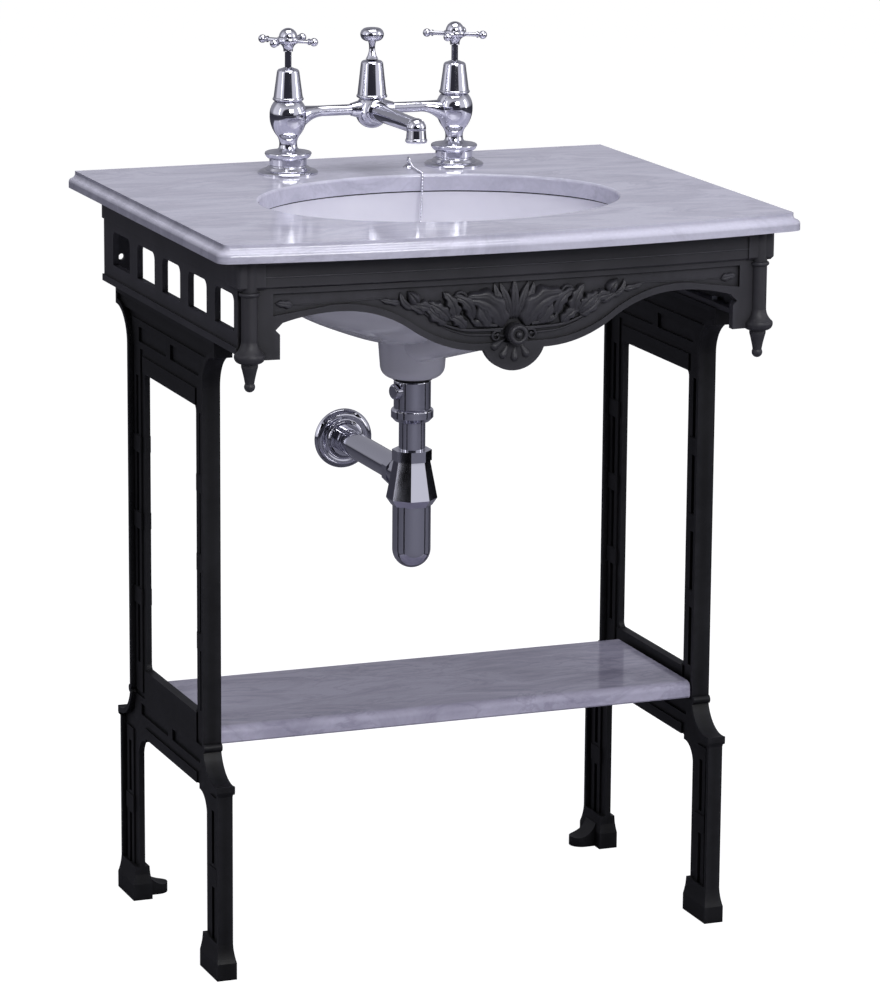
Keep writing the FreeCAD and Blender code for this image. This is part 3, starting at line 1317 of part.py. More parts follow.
# A trumpet that swells from the pipe into the ball, deeper below than above.
def horn(ball_radius):
    levels = [(HORN_END, 0.0, 0.0), (34.0, 0.9, 0.8), (25.0, 3.4, 3.0), (15.0, 8.5, 7.5)]
    wires = []
    for reach, swell, drop in levels:
        centre = point(reach * ball_radius / TAP_BALL_RADIUS, 0, BRIDGE_Z - drop)
        wires.append(circle_wire(PIPE_RADIUS + swell, centre, ALONG))
    return lofted(wires)


# The left body's horn points right and the right body's points left.
def tap_body(side):
    pocket = rod(VALVE_RADIUS + 1, point(0, 0, BONNET_Z - 16), point(0, 0, BONNET_Z))
    water_way = rod(SHANK_BORE, point(0, 0, TAP_NECK_Z), point(0, 0, TAP_BALL_Z - 8))
    shape = merged([tap_ball_form(), horn(TAP_BALL_RADIUS)]).cut([pocket, water_way])
    if side == RIGHT:
        shape = mirrored(shape)
    return at_tap(shape, side)


def bonnet_form(low, high, bore):
    ring_top = low + 5
    return turned(
        (bore, low),
        [
            (BONNET_RADIUS - 1.5, low),
            (BONNET_RING_RADIUS, low + 1.5, BONNET_RADIUS, ring_top - 1),
            (BONNET_TOP_RADIUS, high - 4),
            (BONNET_TOP_RADIUS - 1.2, high - 1.2, BONNET_TOP_RADIUS - 4, high),
            (bore + 2, high + 1.5),
            (bore, high + 1.5),
        ],
    )


def tap_bonnet(side):
    shape = bonnet_form(BONNET_Z, BONNET_TOP_Z, SPINDLE_RADIUS + FIT_CLEARANCE)
    return at_tap(shape, side)


def tap_spindle(side):
    low = BONNET_Z - 14
    head = rod(VALVE_RADIUS, point(0, 0, low), point(0, 0, low + 5))
    stem = rod(SPINDLE_RADIUS, point(0, 0, low), point(0, 0, HANDLE_Z))
    return at_tap(merged([head, stem]), side)


def handle_arm(angle):
    hub_edge = HUB_RADIUS * 0.6
    arm = rod(ARM_RADIUS, point(hub_edge, 0, HANDLE_Z), point(ARM_REACH, 0, HANDLE_Z))
    tip = ball(ARM_BALL_RADIUS, point(ARM_REACH, 0, HANDLE_Z))
    collar_x = ARM_REACH - ARM_BALL_RADIUS - 1
    collar = rod(ARM_COLLAR_RADIUS, point(collar_x - 1.5, 0, HANDLE_Z), point(collar_x, 0, HANDLE_Z))
    return [spun(piece, angle) for piece in (arm, tip, collar)]


def handle_turn(side):
    return HANDLE_ANGLE_LEFT if side == LEFT else HANDLE_ANGLE_RIGHT


def tap_handle(side):
    cap_seat = HANDLE_Z + 4
    hub = turned(
        (0, HUB_BOTTOM_Z),
        [
            (SPINDLE_RADIUS + 1.8, HUB_BOTTOM_Z),
            (SPINDLE_RADIUS + 3, HUB_BOTTOM_Z + 6, HUB_RADIUS - 1.5, HANDLE_Z - 3),
            (HUB_RADIUS, HANDLE_Z, HUB_RADIUS - 1, cap_seat),
            (0, cap_seat),
        ],
    )
    arms = []
    for index in range(HANDLE_ARMS):
        arms += handle_arm(index * 360.0 / HANDLE_ARMS)
    shape = merged([hub] + arms)
    shape = shape.cut(rod(SPINDLE_RADIUS, point(0, 0, HUB_BOTTOM_Z), point(0, 0, HANDLE_Z)))
    return at_tap(spun(shape, handle_turn(side)), side)


def tap_cap(side):
    seat = HANDLE_Z + 4
    shape = turned(
        (0, seat),
        [
            (CAP_RADIUS, seat),
            (CAP_RADIUS, seat + 1),
            dome(CAP_RADIUS, seat + 1, CAP_TOP_Z),
        ],
    )
    return at_tap(shape, side)


def tap_washer(side):
    low = TOP_UNDERSIDE - WASHER_THICKNESS
    shape = tube(WASHER_RADIUS, SHANK_RADIUS + FIT_CLEARANCE, point(0, 0, low), point(0, 0, TOP_UNDERSIDE))
    return at_tap(shape, side)


def tap_backnut(side):
    high = TOP_UNDERSIDE - WASHER_THICKNESS
    low = high - BACKNUT_HEIGHT
    nut = hexagon(BACKNUT_RADIUS, point(0, 0, low), point(0, 0, high))
    nut = nut.cut(rod(SHANK_RADIUS + FIT_CLEARANCE, point(0, 0, low), point(0, 0, high)))
    return at_tap(nut, side)


# ---- bridge, middle column and spout ------------------------------------------------
def bridge_pipe(side):
    shape = tube(PIPE_RADIUS, PIPE_RADIUS - 1.5, point(CENTRE_SOCKET_X, TAP_Y, BRIDGE_Z),
                 point(TAP_X - HORN_END, TAP_Y, BRIDGE_Z))
    return on_side(shape, side)


def centre_body():
    ball_z = SPOUT_Z - 2
    neck = BONNET_TOP_RADIUS + 1
    lean = math.sqrt(0.5)
    column = turned(
        (0, ball_z - CENTRE_BALL_RADIUS),
        [
            (CENTRE_BALL_RADIUS * lean, ball_z - CENTRE_BALL_RADIUS * lean, CENTRE_BALL_RADIUS, ball_z),
            (CENTRE_BALL_RADIUS - 1.5, ball_z + 8, neck, CENTRE_BONNET_Z),
            (0, CENTRE_BONNET_Z),
        ],
    )
    arms = []
    for side in (LEFT, RIGHT):
        arm = Part.makeCone(CENTRE_SOCKET_RADIUS + 3, PIPE_RADIUS + 1, CENTRE_SOCKET_X - 10,
                            point(side * 10, 0, BRIDGE_Z), ALONG * side)
        arms.append(arm)
    shape = merged([column] + arms)
    pocket = rod(KNOB_STEM_RADIUS + 2, point(0, 0, CENTRE_BONNET_Z - 12), point(0, 0, CENTRE_BONNET_Z))
    shape = shape.cut(pocket)
    reach = 2 * CENTRE_SOCKET_X
    front = box((-reach, -reach, ball_z - reach),
                (reach, -CENTRE_BALL_RADIUS + SPOUT_SINK, CENTRE_BONNET_Z + 1))
    return moved(shape.cut(front), y=TAP_Y)


def centre_bonnet():
    shape = bonnet_form(CENTRE_BONNET_Z, CENTRE_BONNET_TOP_Z, KNOB_STEM_RADIUS + FIT_CLEARANCE)
    return moved(shape, y=TAP_Y)


# The oval knob, its waisted stem and the foot that rests on the bonnet.
def centre_knob():
    foot = CENTRE_BONNET_TOP_Z + 1.5 + KNOB_REST_GAP
    low = foot - KNOB_STEM_DEPTH
    knob_low = KNOB_Z - KNOB_HALF_HEIGHT
    shape = turned(
        (0, low),
        [
            (KNOB_STEM_RADIUS, low),
            (KNOB_STEM_RADIUS, foot),
            (KNOB_FOOT_RADIUS, foot),
            (KNOB_STEM_RADIUS + 0.4, (foot + knob_low) / 2, KNOB_STEM_RADIUS + 1.6, knob_low + 1),
            (KNOB_HALF_WIDTH, KNOB_Z, KNOB_STEM_RADIUS, KNOB_Z + KNOB_HALF_HEIGHT - 0.6),
            (0, KNOB_Z + KNOB_HALF_HEIGHT),
        ],
    )
    return moved(shape, y=TAP_Y)


def spout_root_y():
    return TAP_Y - CENTRE_BALL_RADIUS + SPOUT_SINK


def spout_collar():
    root = spout_root_y()
    shape = turned(
        (0, 0),
        [
            (COLLAR_RADIUS - 2, 0),
            (COLLAR_RADIUS, COLLAR_WIDTH / 2, COLLAR_RADIUS - 2, COLLAR_WIDTH),
            (0, COLLAR_WIDTH),
        ],
    )
    shape = spun(shape, 90, ALONG)
    return moved(shape, 0, root, SPOUT_Z)


def spout():
    start = spout_root_y() - COLLAR_WIDTH
    nose_y = TAP_Y - SPOUT_REACH
    barrel = Part.makeCone(SPOUT_ROOT_RADIUS, SPOUT_RADIUS, start - nose_y,
                           point(0, start, SPOUT_Z), -BACK)
    top = SPOUT_Z + SPOUT_RADIUS + NOSE_CROWN
    nose = turned(
        (0, NOSE_BOTTOM_Z),
        [
            (NOSE_RADIUS, NOSE_BOTTOM_Z),
            (NOSE_RADIUS - 0.8, SPOUT_Z - 4),
            dome(NOSE_RADIUS - 0.8, SPOUT_Z - 4, top),
        ],
    )
    shape = merged([barrel, moved(nose, y=nose_y)])
    bore = rod(NOSE_BORE, point(0, nose_y, NOSE_BOTTOM_Z), point(0, nose_y, SPOUT_Z - 3))
    return shape.cut(bore)


def spout_nozzle():
    shape = turned(
        (NOZZLE_BORE, NOZZLE_BOTTOM_Z),
        [
            (NOZZLE_RADIUS - 1, NOZZLE_BOTTOM_Z),
            (NOZZLE_RADIUS, (NOZZLE_BOTTOM_Z + NOSE_BOTTOM_Z) / 2, NOZZLE_RADIUS - 1, NOSE_BOTTOM_Z),
            (NOZZLE_BORE, NOSE_BOTTOM_Z),
        ],
    )
    return moved(shape, y=TAP_Y - SPOUT_REACH)


# ---- plug, chain and stay -------------------------------------------------------------
def eye(radius, wire, centre):
    return Part.makeTorus(radius, wire, centre, ALONG)


def chain_stay():
    base = turned(
        (0, TOP_HEIGHT),
        [
            (STAY_RADIUS, TOP_HEIGHT),
            dome(STAY_RADIUS, TOP_HEIGHT, TOP_HEIGHT + STAY_HEIGHT),
        ],
    )
    stud = rod(STAY_STUD_RADIUS, point(0, 0, STAY_STUD_BOTTOM_Z), point(0, 0, TOP_HEIGHT + 1))
    loop = eye(STAY_EYE_RADIUS, STAY_WIRE_RADIUS, point(0, 0, STAY_EYE_Z - STAY_WIRE_RADIUS))
    return moved(merged([base, stud, loop]), STAY_X, STAY_Y)


def chain_stay_nut():
    low = TOP_UNDERSIDE - STAY_NUT_HEIGHT
    nut = hexagon(STAY_NUT_RADIUS, point(0, 0, low), point(0, 0, TOP_UNDERSIDE))
    nut = nut.cut(rod(STAY_STUD_RADIUS + FIT_CLEARANCE, point(0, 0, low), point(0, 0, TOP_UNDERSIDE)))
    return moved(nut, STAY_X, STAY_Y)


# The chain's way: over the deck, down the bowl's back wall and up to the plug.
# The last number of each place is its height above the deck.
CHAIN_POINTS = [
    (48.0, 196.0, 6.6),
    (47.2, 186.0, 2.8),
    (45.4, 170.0, 1.9),
    (43.4, 152.0, 1.9),
    (42.2, 138.8, 2.1),
    (41.6, 138.0, -10.0),
    (40.0, 135.6, -32.0),
    (37.0, 132.6, -60.0),
    (32.6, 128.0, -94.0),
    (26.0, 116.0, -130.0),
    (18.0, 98.5, -157.0),
    (10.0, 84.0, -167.6),
    (4.5, 74.0, -168.4),
    (1.0, 65.5, -167.0),
]


def chain_places():
    return [point(x, y, TOP_HEIGHT + rise) for x, y, rise in CHAIN_POINTS]


# Straight runs joined by tangent arcs, each as large as its two runs allow.
def tangent_path(points):
    edges = []
    radii = []
    here = points[0]
    for before, corner, after in zip(points, points[1:], points[2:]):
        arrive = (corner - before).normalize()
        leave = (after - corner).normalize()
        turn = arrive.getAngle(leave)
        shorter = min((corner - before).Length, (after - corner).Length)
        setback = 0.45 * shorter
        radius = setback / math.tan(turn / 2)
        first = corner - arrive * setback
        last = corner + leave * setback
        inward = (leave - arrive).normalize()
        middle = corner + inward * (math.hypot(radius, setback) - radius)
        edges.append(Part.LineSegment(here, first).toShape())
        edges.append(Part.Arc(first, middle, last).toShape())
        here = last
        radii.append(radius)
    edges.append(Part.LineSegment(here, points[-1]).toShape())
    return Part.Wire(edges), radii


def plug_chain():
    places = chain_places()
    path, radii = tangent_path(places)
    start = places[0]
    heading = places[1] - start
    solid = path.makePipeShell([circle_wire(CHAIN_RADIUS, start, heading)], True, False)
    print("chain length", round(path.Length, 1), "radii", [round(radius, 1) for radius in radii])
    print("chain volume ratio", round(solid.Volume / (path.Length * math.pi * CHAIN_RADIUS ** 2), 3))
    return solid


def waste_rim_top():
    return BOWL_FLOOR_Z - BOWL_RECESS_DEPTH + WASTE_RIM_THICKNESS


def basin_plug():
    seat = waste_rim_top() + PLUG_GAP
    low = seat - PLUG_HEIGHT
    rim = seat + PLUG_CROWN * 2 / 3
    top = seat + PLUG_CROWN
    shape = turned(
        (0, low),
        [
            (WASTE_BORE - 2 * PLUG_BORE_GAP, low),
            (WASTE_BORE - PLUG_BORE_GAP, seat),
            (PLUG_TOP_RADIUS, seat),
            (PLUG_TOP_RADIUS - 1, rim),
            (0, top),
        ],
    )
    loop = eye(PLUG_EYE_RADIUS, STAY_WIRE_RADIUS, point(0, 0, rim + PLUG_EYE_RADIUS + 1))
    return moved(merged([shape, loop]), y=WASTE_Y)


# ---- waste and trap -----------------------------------------------------------------
def at_waste(shape):
    return moved(shape, y=WASTE_Y)


def waste_flange():
    low = BOWL_FLOOR_Z - BOWL_RECESS_DEPTH
    top = waste_rim_top()
    shape = turned(
        (WASTE_BORE, BOWL_BOSS_BOTTOM_Z + WASTE_NECK_LENGTH),
        [
            (WASTE_NECK_RADIUS, BOWL_BOSS_BOTTOM_Z + WASTE_NECK_LENGTH),
            (WASTE_NECK_RADIUS, low),
            (WASTE_RIM_RADIUS, low),
            (WASTE_RIM_RADIUS - 1, low + 1.8, WASTE_RIM_RADIUS - 4, top),
            (WASTE_BORE, top),
        ],
    )
    return at_waste(shape)


def waste_gasket():
    low = BOWL_BOSS_BOTTOM_Z - WASTE_GASKET_THICKNESS
    return at_waste(tube(BOWL_BOSS_RADIUS - BOWL_BOSS_ROUND, WASTE_BODY_RADIUS - WASTE_BODY_ROUND,
                         point(0, 0, low), point(0, 0, BOWL_BOSS_BOTTOM_Z)))


# The chromed barrel below the boss, with its small blanked side branch.
def waste_body():
    top = BOWL_BOSS_BOTTOM_Z - WASTE_GASKET_THICKNESS
    neck_top = BOWL_BOSS_BOTTOM_Z + WASTE_NECK_LENGTH
    shoulder = WASTE_BODY_RADIUS - WASTE_BODY_ROUND
    bend = WASTE_BODY_ROUND * math.sqrt(0.5)
    neck = shoulder - FIT_CLEARANCE
    shape = turned(
        (WASTE_BORE, WASTE_BODY_BOTTOM_Z),
        [
            (TAIL_NUT_RADIUS - 6, WASTE_BODY_BOTTOM_Z),
            (TAIL_NUT_RADIUS - 6, TAIL_NUT_TOP_Z),
            (WASTE_BODY_RADIUS, TAIL_NUT_TOP_Z),
            (WASTE_BODY_RADIUS, top - WASTE_BODY_ROUND),
            (shoulder + bend, top - WASTE_BODY_ROUND + bend, shoulder, top),
            (neck, top),
            (neck, neck_top),
            (WASTE_BORE, neck_top),
        ],
    )
    branch_turn = point(-math.cos(math.radians(15)), -math.sin(math.radians(15)), 0)
    base = point(0, 0, SIDE_BOSS_Z)
    branch = rod(SIDE_BOSS_RADIUS, base + branch_turn * (WASTE_BORE + 2), base + branch_turn * SIDE_BOSS_REACH)
    rim = [edge for edge in branch.Edges if edge.Length < 2 * math.pi * SIDE_BOSS_RADIUS + 1
           and edge.CenterOfMass.Length > 0 and abs(edge.CenterOfMass.x) > SIDE_BOSS_REACH * 0.9]
    branch = branch.makeFillet(3, rim)
    return at_waste(merged([shape, branch]))


def tail_nut():
    bore = TAIL_RADIUS + FIT_CLEARANCE
    seat = WASTE_BODY_BOTTOM_Z
    shape = turned(
        (bore, TAIL_NUT_BOTTOM_Z),
        [
            (TAIL_NUT_RADIUS - 5, TAIL_NUT_BOTTOM_Z),
            (TAIL_NUT_RADIUS, TAIL_NUT_BOTTOM_Z + 5),
            (TAIL_NUT_RADIUS, TAIL_NUT_TOP_Z - 3),
            (TAIL_NUT_RADIUS - 1, TAIL_NUT_TOP_Z - 1, TAIL_NUT_RADIUS - 3, TAIL_NUT_TOP_Z),
            (TAIL_NUT_RADIUS - 6 + FIT_CLEARANCE, TAIL_NUT_TOP_Z),
            (TAIL_NUT_RADIUS - 6 + FIT_CLEARANCE, seat),
            (bore, seat),
        ],
    )
    return at_waste(shape)


def tail_pipe():
    top = WASTE_BODY_BOTTOM_Z
    return at_waste(tube(TAIL_RADIUS, TAIL_RADIUS - TAIL_WALL, point(0, 0, TAIL_BOTTOM_Z), point(0, 0, top)))


def trap_nut():
    bore = TAIL_RADIUS + FIT_CLEARANCE
    low = point(0, 0, TRAP_NUT_BOTTOM_Z)
    high = point(0, 0, TRAP_NUT_TOP_Z)
    nut = polygon_prism(TRAP_FACETS, TRAP_NUT_RADIUS, low, high)
    return at_waste(nut.cut(rod(bore, low, high)))


# The flaring faceted body, its collar at the foot and the branch to the wall.
def trap_body():
    def facet_wire(radius, z):
        corners = []
        for index in range(TRAP_FACETS + 1):
            turn = math.radians((index + 0.5) * 360.0 / TRAP_FACETS)
            corners.append(point(radius * math.cos(turn), radius * math.sin(turn), z))
        return Part.makePolygon(corners)

    upper = Part.makeLoft([facet_wire(TRAP_TOP_RADIUS + 1, TRAP_NUT_BOTTOM_Z),
                           facet_wire(TRAP_FLARE_RADIUS, TRAP_FLARE_Z)], True, True)
    lower = Part.makeLoft([facet_wire(TRAP_FLARE_RADIUS, TRAP_FLARE_Z),
                           facet_wire(BOTTLE_RADIUS + TRAP_NECK_WALL, TRAP_BOTTOM_Z)], True, True)
    branch = rod(OUTLET_NUT_RADIUS - 2, point(0, 0, OUTLET_Z),
                 point(0, OUTLET_NUT_START_Y - WASTE_Y, OUTLET_Z))
    shape = merged([upper, lower, branch])
    neck_low = TRAP_NUT_BOTTOM_Z - TRAP_SOCKET_DEPTH
    inside = Part.makeCone(TAIL_RADIUS + TRAP_NECK_WALL, BOTTLE_RADIUS - BOTTLE_WALL,
                           neck_low - TRAP_BOTTOM_Z, point(0, 0, neck_low), -UP)
    neck = rod(TAIL_RADIUS + FIT_CLEARANCE, point(0, 0, neck_low), point(0, 0, TRAP_NUT_BOTTOM_Z))
    socket = rod(BOTTLE_RADIUS + FIT_CLEARANCE, point(0, 0, TRAP_BOTTOM_Z),
                 point(0, 0, TRAP_BOTTOM_Z + TRAP_SOCKET_DEPTH))
    way_out = rod(OUTLET_RADIUS - OUTLET_WALL + OUTLET_SOCKET_GAP, point(0, 0, OUTLET_Z),
                  point(0, OUTLET_NUT_START_Y - WASTE_Y, OUTLET_Z))
    return at_waste(shape.cut([inside, neck, socket, way_out]))


def trap_bottle():
    inner = BOTTLE_RADIUS - BOTTLE_WALL
    centre = BOTTLE_BOTTOM_Z + BOTTLE_RADIUS
    lean = math.sqrt(0.5)
    top = TRAP_BOTTOM_Z + TRAP_SOCKET_DEPTH
    shape = turned(
        (0, BOTTLE_BOTTOM_Z),
        [
            (BOTTLE_RADIUS * lean, centre - BOTTLE_RADIUS * lean, BOTTLE_RADIUS, centre),
            (BOTTLE_RADIUS, top),
            (inner, top),
            (inner, centre),
            (inner * lean, centre - inner * lean, 0, BOTTLE_BOTTOM_Z + BOTTLE_WALL),
        ],
    )
    return at_waste(shape)


def outlet_nut():
    start = point(0, OUTLET_NUT_START_Y, OUTLET_Z)
    end = point(0, OUTLET_NUT_END_Y, OUTLET_Z)
    nut = polygon_prism(TRAP_FACETS, OUTLET_NUT_RADIUS, start, end)
    return nut.cut(rod(OUTLET_RADIUS + FIT_CLEARANCE, start, end))


def outlet_pipe():
    return tube(OUTLET_RADIUS, OUTLET_RADIUS - OUTLET_WALL, point(0, OUTLET_NUT_START_Y, OUTLET_Z),
                point(0, WALL_Y, OUTLET_Z))


# A domed cover plate turned about the outlet pipe, its back on the wall.
def wall_flange():
    bore = OUTLET_RADIUS + FIT_CLEARANCE
    shape = turned(
        (bore, 0),
        [
            (WALL_FLANGE_RADIUS, 0),
            (WALL_FLANGE_RADIUS, 2),
            (WALL_FLANGE_RADIUS - 3, 6, WALL_FLANGE_NECK_RADIUS + 6, 7.5),
            (WALL_FLANGE_NECK_RADIUS + 1, 9, WALL_FLANGE_NECK_RADIUS, WALL_FLANGE_DEPTH - 1),
            (WALL_FLANGE_NECK_RADIUS - 1, WALL_FLANGE_DEPTH),
            (bore, WALL_FLANGE_DEPTH),
        ],
    )
    return moved(spun(shape, 90, ALONG), 0, WALL_Y, OUTLET_Z)


# ---- all pieces -----------------------------------------------------------------------
def build():
    os.makedirs("parts", exist_ok=True)
    save("marble_top", marble_top())
    save("basin_bowl", basin_bowl())
    save("basin_seal", basin_seal())
    save_group("basin_clips", [basin_clip(*place) for place in clip_places()])
    save_group("clip_screws", [clip_screw(x, y) for x, y, _ in clip_places()])

    save("apron_front", apron_front())
    bolts = [apron_bolt(start, end) for start, end in apron_bolt_lines()]
    save_group("apron_bolts", bolts + [mirrored(bolt) for bolt in bolts])
    bolts = [frame_bolt(x, y) for x, y in frame_bolt_places()]
    save_group("frame_bolts", bolts + [mirrored(bolt) for bolt in bolts])
    save("shelf_slab", shelf_slab())
    save_group("shelf_pads", [shelf_pad(x, y) for x, y in shelf_pad_places()])

    for side, word in ((LEFT, "left"), (RIGHT, "right")):
        save("apron_side_" + word, apron_side(side))
        save("pendant_" + word, pendant(side))
        save("side_frame_" + word, side_frame(side))
        save("tap_base_" + word, tap_base(side))
        save("tap_body_" + word, tap_body(side))
        save("tap_bonnet_" + word, tap_bonnet(side))
        save("tap_spindle_" + word, tap_spindle(side))
        save("tap_handle_" + word, tap_handle(side))
        save("tap_cap_" + word, tap_cap(side))
        save("bridge_pipe_" + word, bridge_pipe(side))
    save_group("tap_washers", [tap_washer(side) for side in (LEFT, RIGHT)])
    save_group("tap_backnuts", [tap_backnut(side) for side in (LEFT, RIGHT)])

    save("centre_body", centre_body())
    save("centre_bonnet", centre_bonnet())
    save("centre_knob", centre_knob())
    save("spout_collar", spout_collar())
    save("spout", spout())
    save("spout_nozzle", spout_nozzle())

    save("chain_stay", chain_stay())
    save("chain_stay_nut", chain_stay_nut())
    save("plug_chain", plug_chain())
    save("basin_plug", basin_plug())

    save("waste_flange", waste_flange())
    save("waste_gasket", waste_gasket())
    save("waste_body", waste_body())
    save("tail_nut", tail_nut())
    save("tail_pipe", tail_pipe())
    save("trap_nut", trap_nut())
    save("trap_body", trap_body())
    save("trap_bottle", trap_bottle())
    save("outlet_nut", outlet_nut())
    save("outlet_pipe", outlet_pipe())
    save("wall_flange", wall_flange())


build()
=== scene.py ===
import bmesh
import bpy
import json
import math
from mathutils import Matrix, Vector


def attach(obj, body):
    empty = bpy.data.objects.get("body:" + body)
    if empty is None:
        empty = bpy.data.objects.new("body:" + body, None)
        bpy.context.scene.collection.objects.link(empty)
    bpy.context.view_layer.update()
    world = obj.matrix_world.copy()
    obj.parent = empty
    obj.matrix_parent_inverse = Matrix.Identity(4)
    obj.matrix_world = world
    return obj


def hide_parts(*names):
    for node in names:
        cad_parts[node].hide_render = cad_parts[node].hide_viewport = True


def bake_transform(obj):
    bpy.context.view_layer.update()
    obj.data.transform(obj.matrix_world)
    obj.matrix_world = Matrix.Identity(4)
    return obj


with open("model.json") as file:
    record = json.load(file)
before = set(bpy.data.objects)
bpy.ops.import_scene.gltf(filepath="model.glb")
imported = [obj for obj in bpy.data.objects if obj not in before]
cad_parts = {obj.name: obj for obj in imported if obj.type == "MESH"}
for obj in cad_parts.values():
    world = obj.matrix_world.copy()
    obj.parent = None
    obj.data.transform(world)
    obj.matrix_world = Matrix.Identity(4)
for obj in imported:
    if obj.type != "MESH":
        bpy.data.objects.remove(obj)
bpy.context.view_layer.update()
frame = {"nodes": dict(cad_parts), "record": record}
nodes = frame["nodes"]
print("frame loaded:", len(nodes), "nodes")

# lengths in this file are metres
mm = 0.001

# camera
cameraView = {
    "place": (-1.88618, -4.84710, 1.70431),
    "azimuth": -21.4,
    "elevation": 12.8,
    "roll": 0.432,
    "lens": 164.48,
}


def addCamera(view):
    turn, rise, roll = (math.radians(view[k]) for k in ("azimuth", "elevation", "roll"))
    ahead = Vector((-math.sin(turn) * math.cos(rise), math.cos(turn) * math.cos(rise), -math.sin(rise)))
    right = ahead.cross(Vector((0, 0, 1))).normalized()
    up = right.cross(ahead)
    rightRolled = right * math.cos(roll) + up * math.sin(roll)
    upRolled = up * math.cos(roll) - right * math.sin(roll)
    data = bpy.data.cameras.new("camera")
    data.sensor_width = 36
    data.lens = view["lens"]
    data.clip_end = 50
    camera = bpy.data.objects.new("camera", data)
    axes = Matrix((rightRolled, upRolled, -ahead)).transposed().to_4x4()
    camera.matrix_world = Matrix.Translation(Vector(view["place"])) @ axes
    bpy.context.scene.collection.objects.link(camera)
    bpy.context.scene.camera = camera


addCamera(cameraView)


# node tools
def link(tree, a, b):
    tree.links.new(a, b)


def addNode(tree, kind, **values):
    made = tree.nodes.new(kind)
    for key, value in values.items():
        setattr(made, key, value)
    return made


def setInputs(node, values):
    for key, value in values.items():
        node.inputs[key].default_value = value


def colour(r, g, b):
    def straight(v):
        v = v / 255
        return v / 12.92 if v <= 0.04045 else ((v + 0.055) / 1.055) ** 2.4
    return (straight(r), straight(g), straight(b), 1)


def noiseNode(tree, place, scale, detail=4, rough=0.55, distortion=0):
    made = addNode(tree, "ShaderNodeTexNoise")
    setInputs(made, {"Scale": scale, "Detail": detail, "Roughness": rough, "Distortion": distortion})
    link(tree, place, made.inputs["Vector"])
    return made


def rampNode(tree, source, stops):
    made = addNode(tree, "ShaderNodeValToRGB")
    band = made.color_ramp
    while len(band.elements) < len(stops):
        band.elements.new(0.5)
    for element, (place, tone) in zip(band.elements, stops):
        element.position = place
        element.color = tone if len(tone) == 4 else (*tone, 1)
    link(tree, source, made.inputs["Fac"])
    return made


# A socket takes another node's output or a plain value.
def feed(tree, socket, value):
    if hasattr(value, "links"):
        link(tree, value, socket)
    else:
        socket.default_value = value


def mathNode(tree, kind, a, b=None, c=None, clamp=False):
    made = addNode(tree, "ShaderNodeMath", operation=kind, use_clamp=clamp)
    for socket, value in zip(made.inputs, (a, b, c)):
        if value is not None:
            feed(tree, socket, value)
    return made.outputs[0]


def mixColour(tree, factor, a, b, kind="MIX"):
    made = addNode(tree, "ShaderNodeMix", data_type="RGBA", blend_type=kind)
    for socket, value in ((made.inputs[0], factor), (made.inputs[6], a), (made.inputs[7], b)):
        feed(tree, socket, value)
    return made.outputs[2]


def mixShader(tree, factor, a, b):
    made = addNode(tree, "ShaderNodeMixShader")
    for socket, value in zip(made.inputs, (factor, a, b)):
        link(tree, value, socket)
    return made.outputs[0]


# Roughness that wanders between two values over the cloudy mask.
def feedRoughness(tree, shader, source, pair, stops=(0.3, 0.7)):
    spread = rampNode(tree, source, [(stop, (rough,) * 3) for stop, rough in zip(stops, pair)])
    link(tree, spread.outputs["Color"], shader.inputs["Roughness"])


def newGroup(name, inputs, outputs):
    tree = bpy.data.node_groups.new(name, "ShaderNodeTree")
    for label, kind, value in inputs:
        socket = tree.interface.new_socket(label, in_out="INPUT", socket_type=kind)
        socket.default_value = value
    for label, kind in outputs:
        tree.interface.new_socket(label, in_out="OUTPUT", socket_type=kind)
    return tree, addNode(tree, "NodeGroupInput"), addNode(tree, "NodeGroupOutput")


# Fine unevenness of a finish: a height for the bump and a slow cloudy mask.
def makeGrainGroup():
    tree, given, result = newGroup(
        "surfaceGrain",
        [("Fine Scale", "NodeSocketFloat", 900.0), ("Cloud Scale", "NodeSocketFloat", 12.0)],
        [("Height", "NodeSocketFloat"), ("Cloud", "NodeSocketFloat")])
    place = addNode(tree, "ShaderNodeTexCoord").outputs["Object"]
    fine = noiseNode(tree, place, 900, 3, 0.6)
    link(tree, given.outputs["Fine Scale"], fine.inputs["Scale"])
    cloud = noiseNode(tree, place, 12, 5, 0.6)
    link(tree, given.outputs["Cloud Scale"], cloud.inputs["Scale"])
    link(tree, fine.outputs["Fac"], result.inputs["Height"])
    link(tree, cloud.outputs["Fac"], result.inputs["Cloud"])
    return tree


# Edge and recess masks: worn edges, and a recess mask from ambient occlusion that the materials use to paint
# shade into corners.
def makeEdgeGroup():
    tree, given, result = newGroup(
        "edgeAndRecess",
        [("Reach", "NodeSocketFloat", 0.006), ("Break Up", "NodeSocketFloat", 60.0)],
        [("Edge", "NodeSocketFloat"), ("Recess", "NodeSocketFloat")])
    place = addNode(tree, "ShaderNodeTexCoord").outputs["Object"]
    spots = noiseNode(tree, place, 60, 3, 0.6)
    link(tree, given.outputs["Break Up"], spots.inputs["Scale"])
    out = addNode(tree, "ShaderNodeAmbientOcclusion", samples=8)
    into = addNode(tree, "ShaderNodeAmbientOcclusion", samples=8, inside=True)
    for node in (out, into):
        link(tree, given.outputs["Reach"], node.inputs["Distance"])
    recess = mathNode(tree, "SUBTRACT", 1.0, out.outputs["AO"], clamp=True)
    edge = mathNode(tree, "SUBTRACT", 1.0, into.outputs["AO"], clamp=True)
    edge = mathNode(tree, "MULTIPLY", edge, spots.outputs["Fac"], clamp=True)
    link(tree, edge, result.inputs["Edge"])
    link(tree, recess, result.inputs["Recess"])
    return tree


veinForm = {"stretch": (1.0, 2.6, 1.6), "sharp": 22.0, "breakScale": 9, "kept": 1.3, "speckScale": 260}


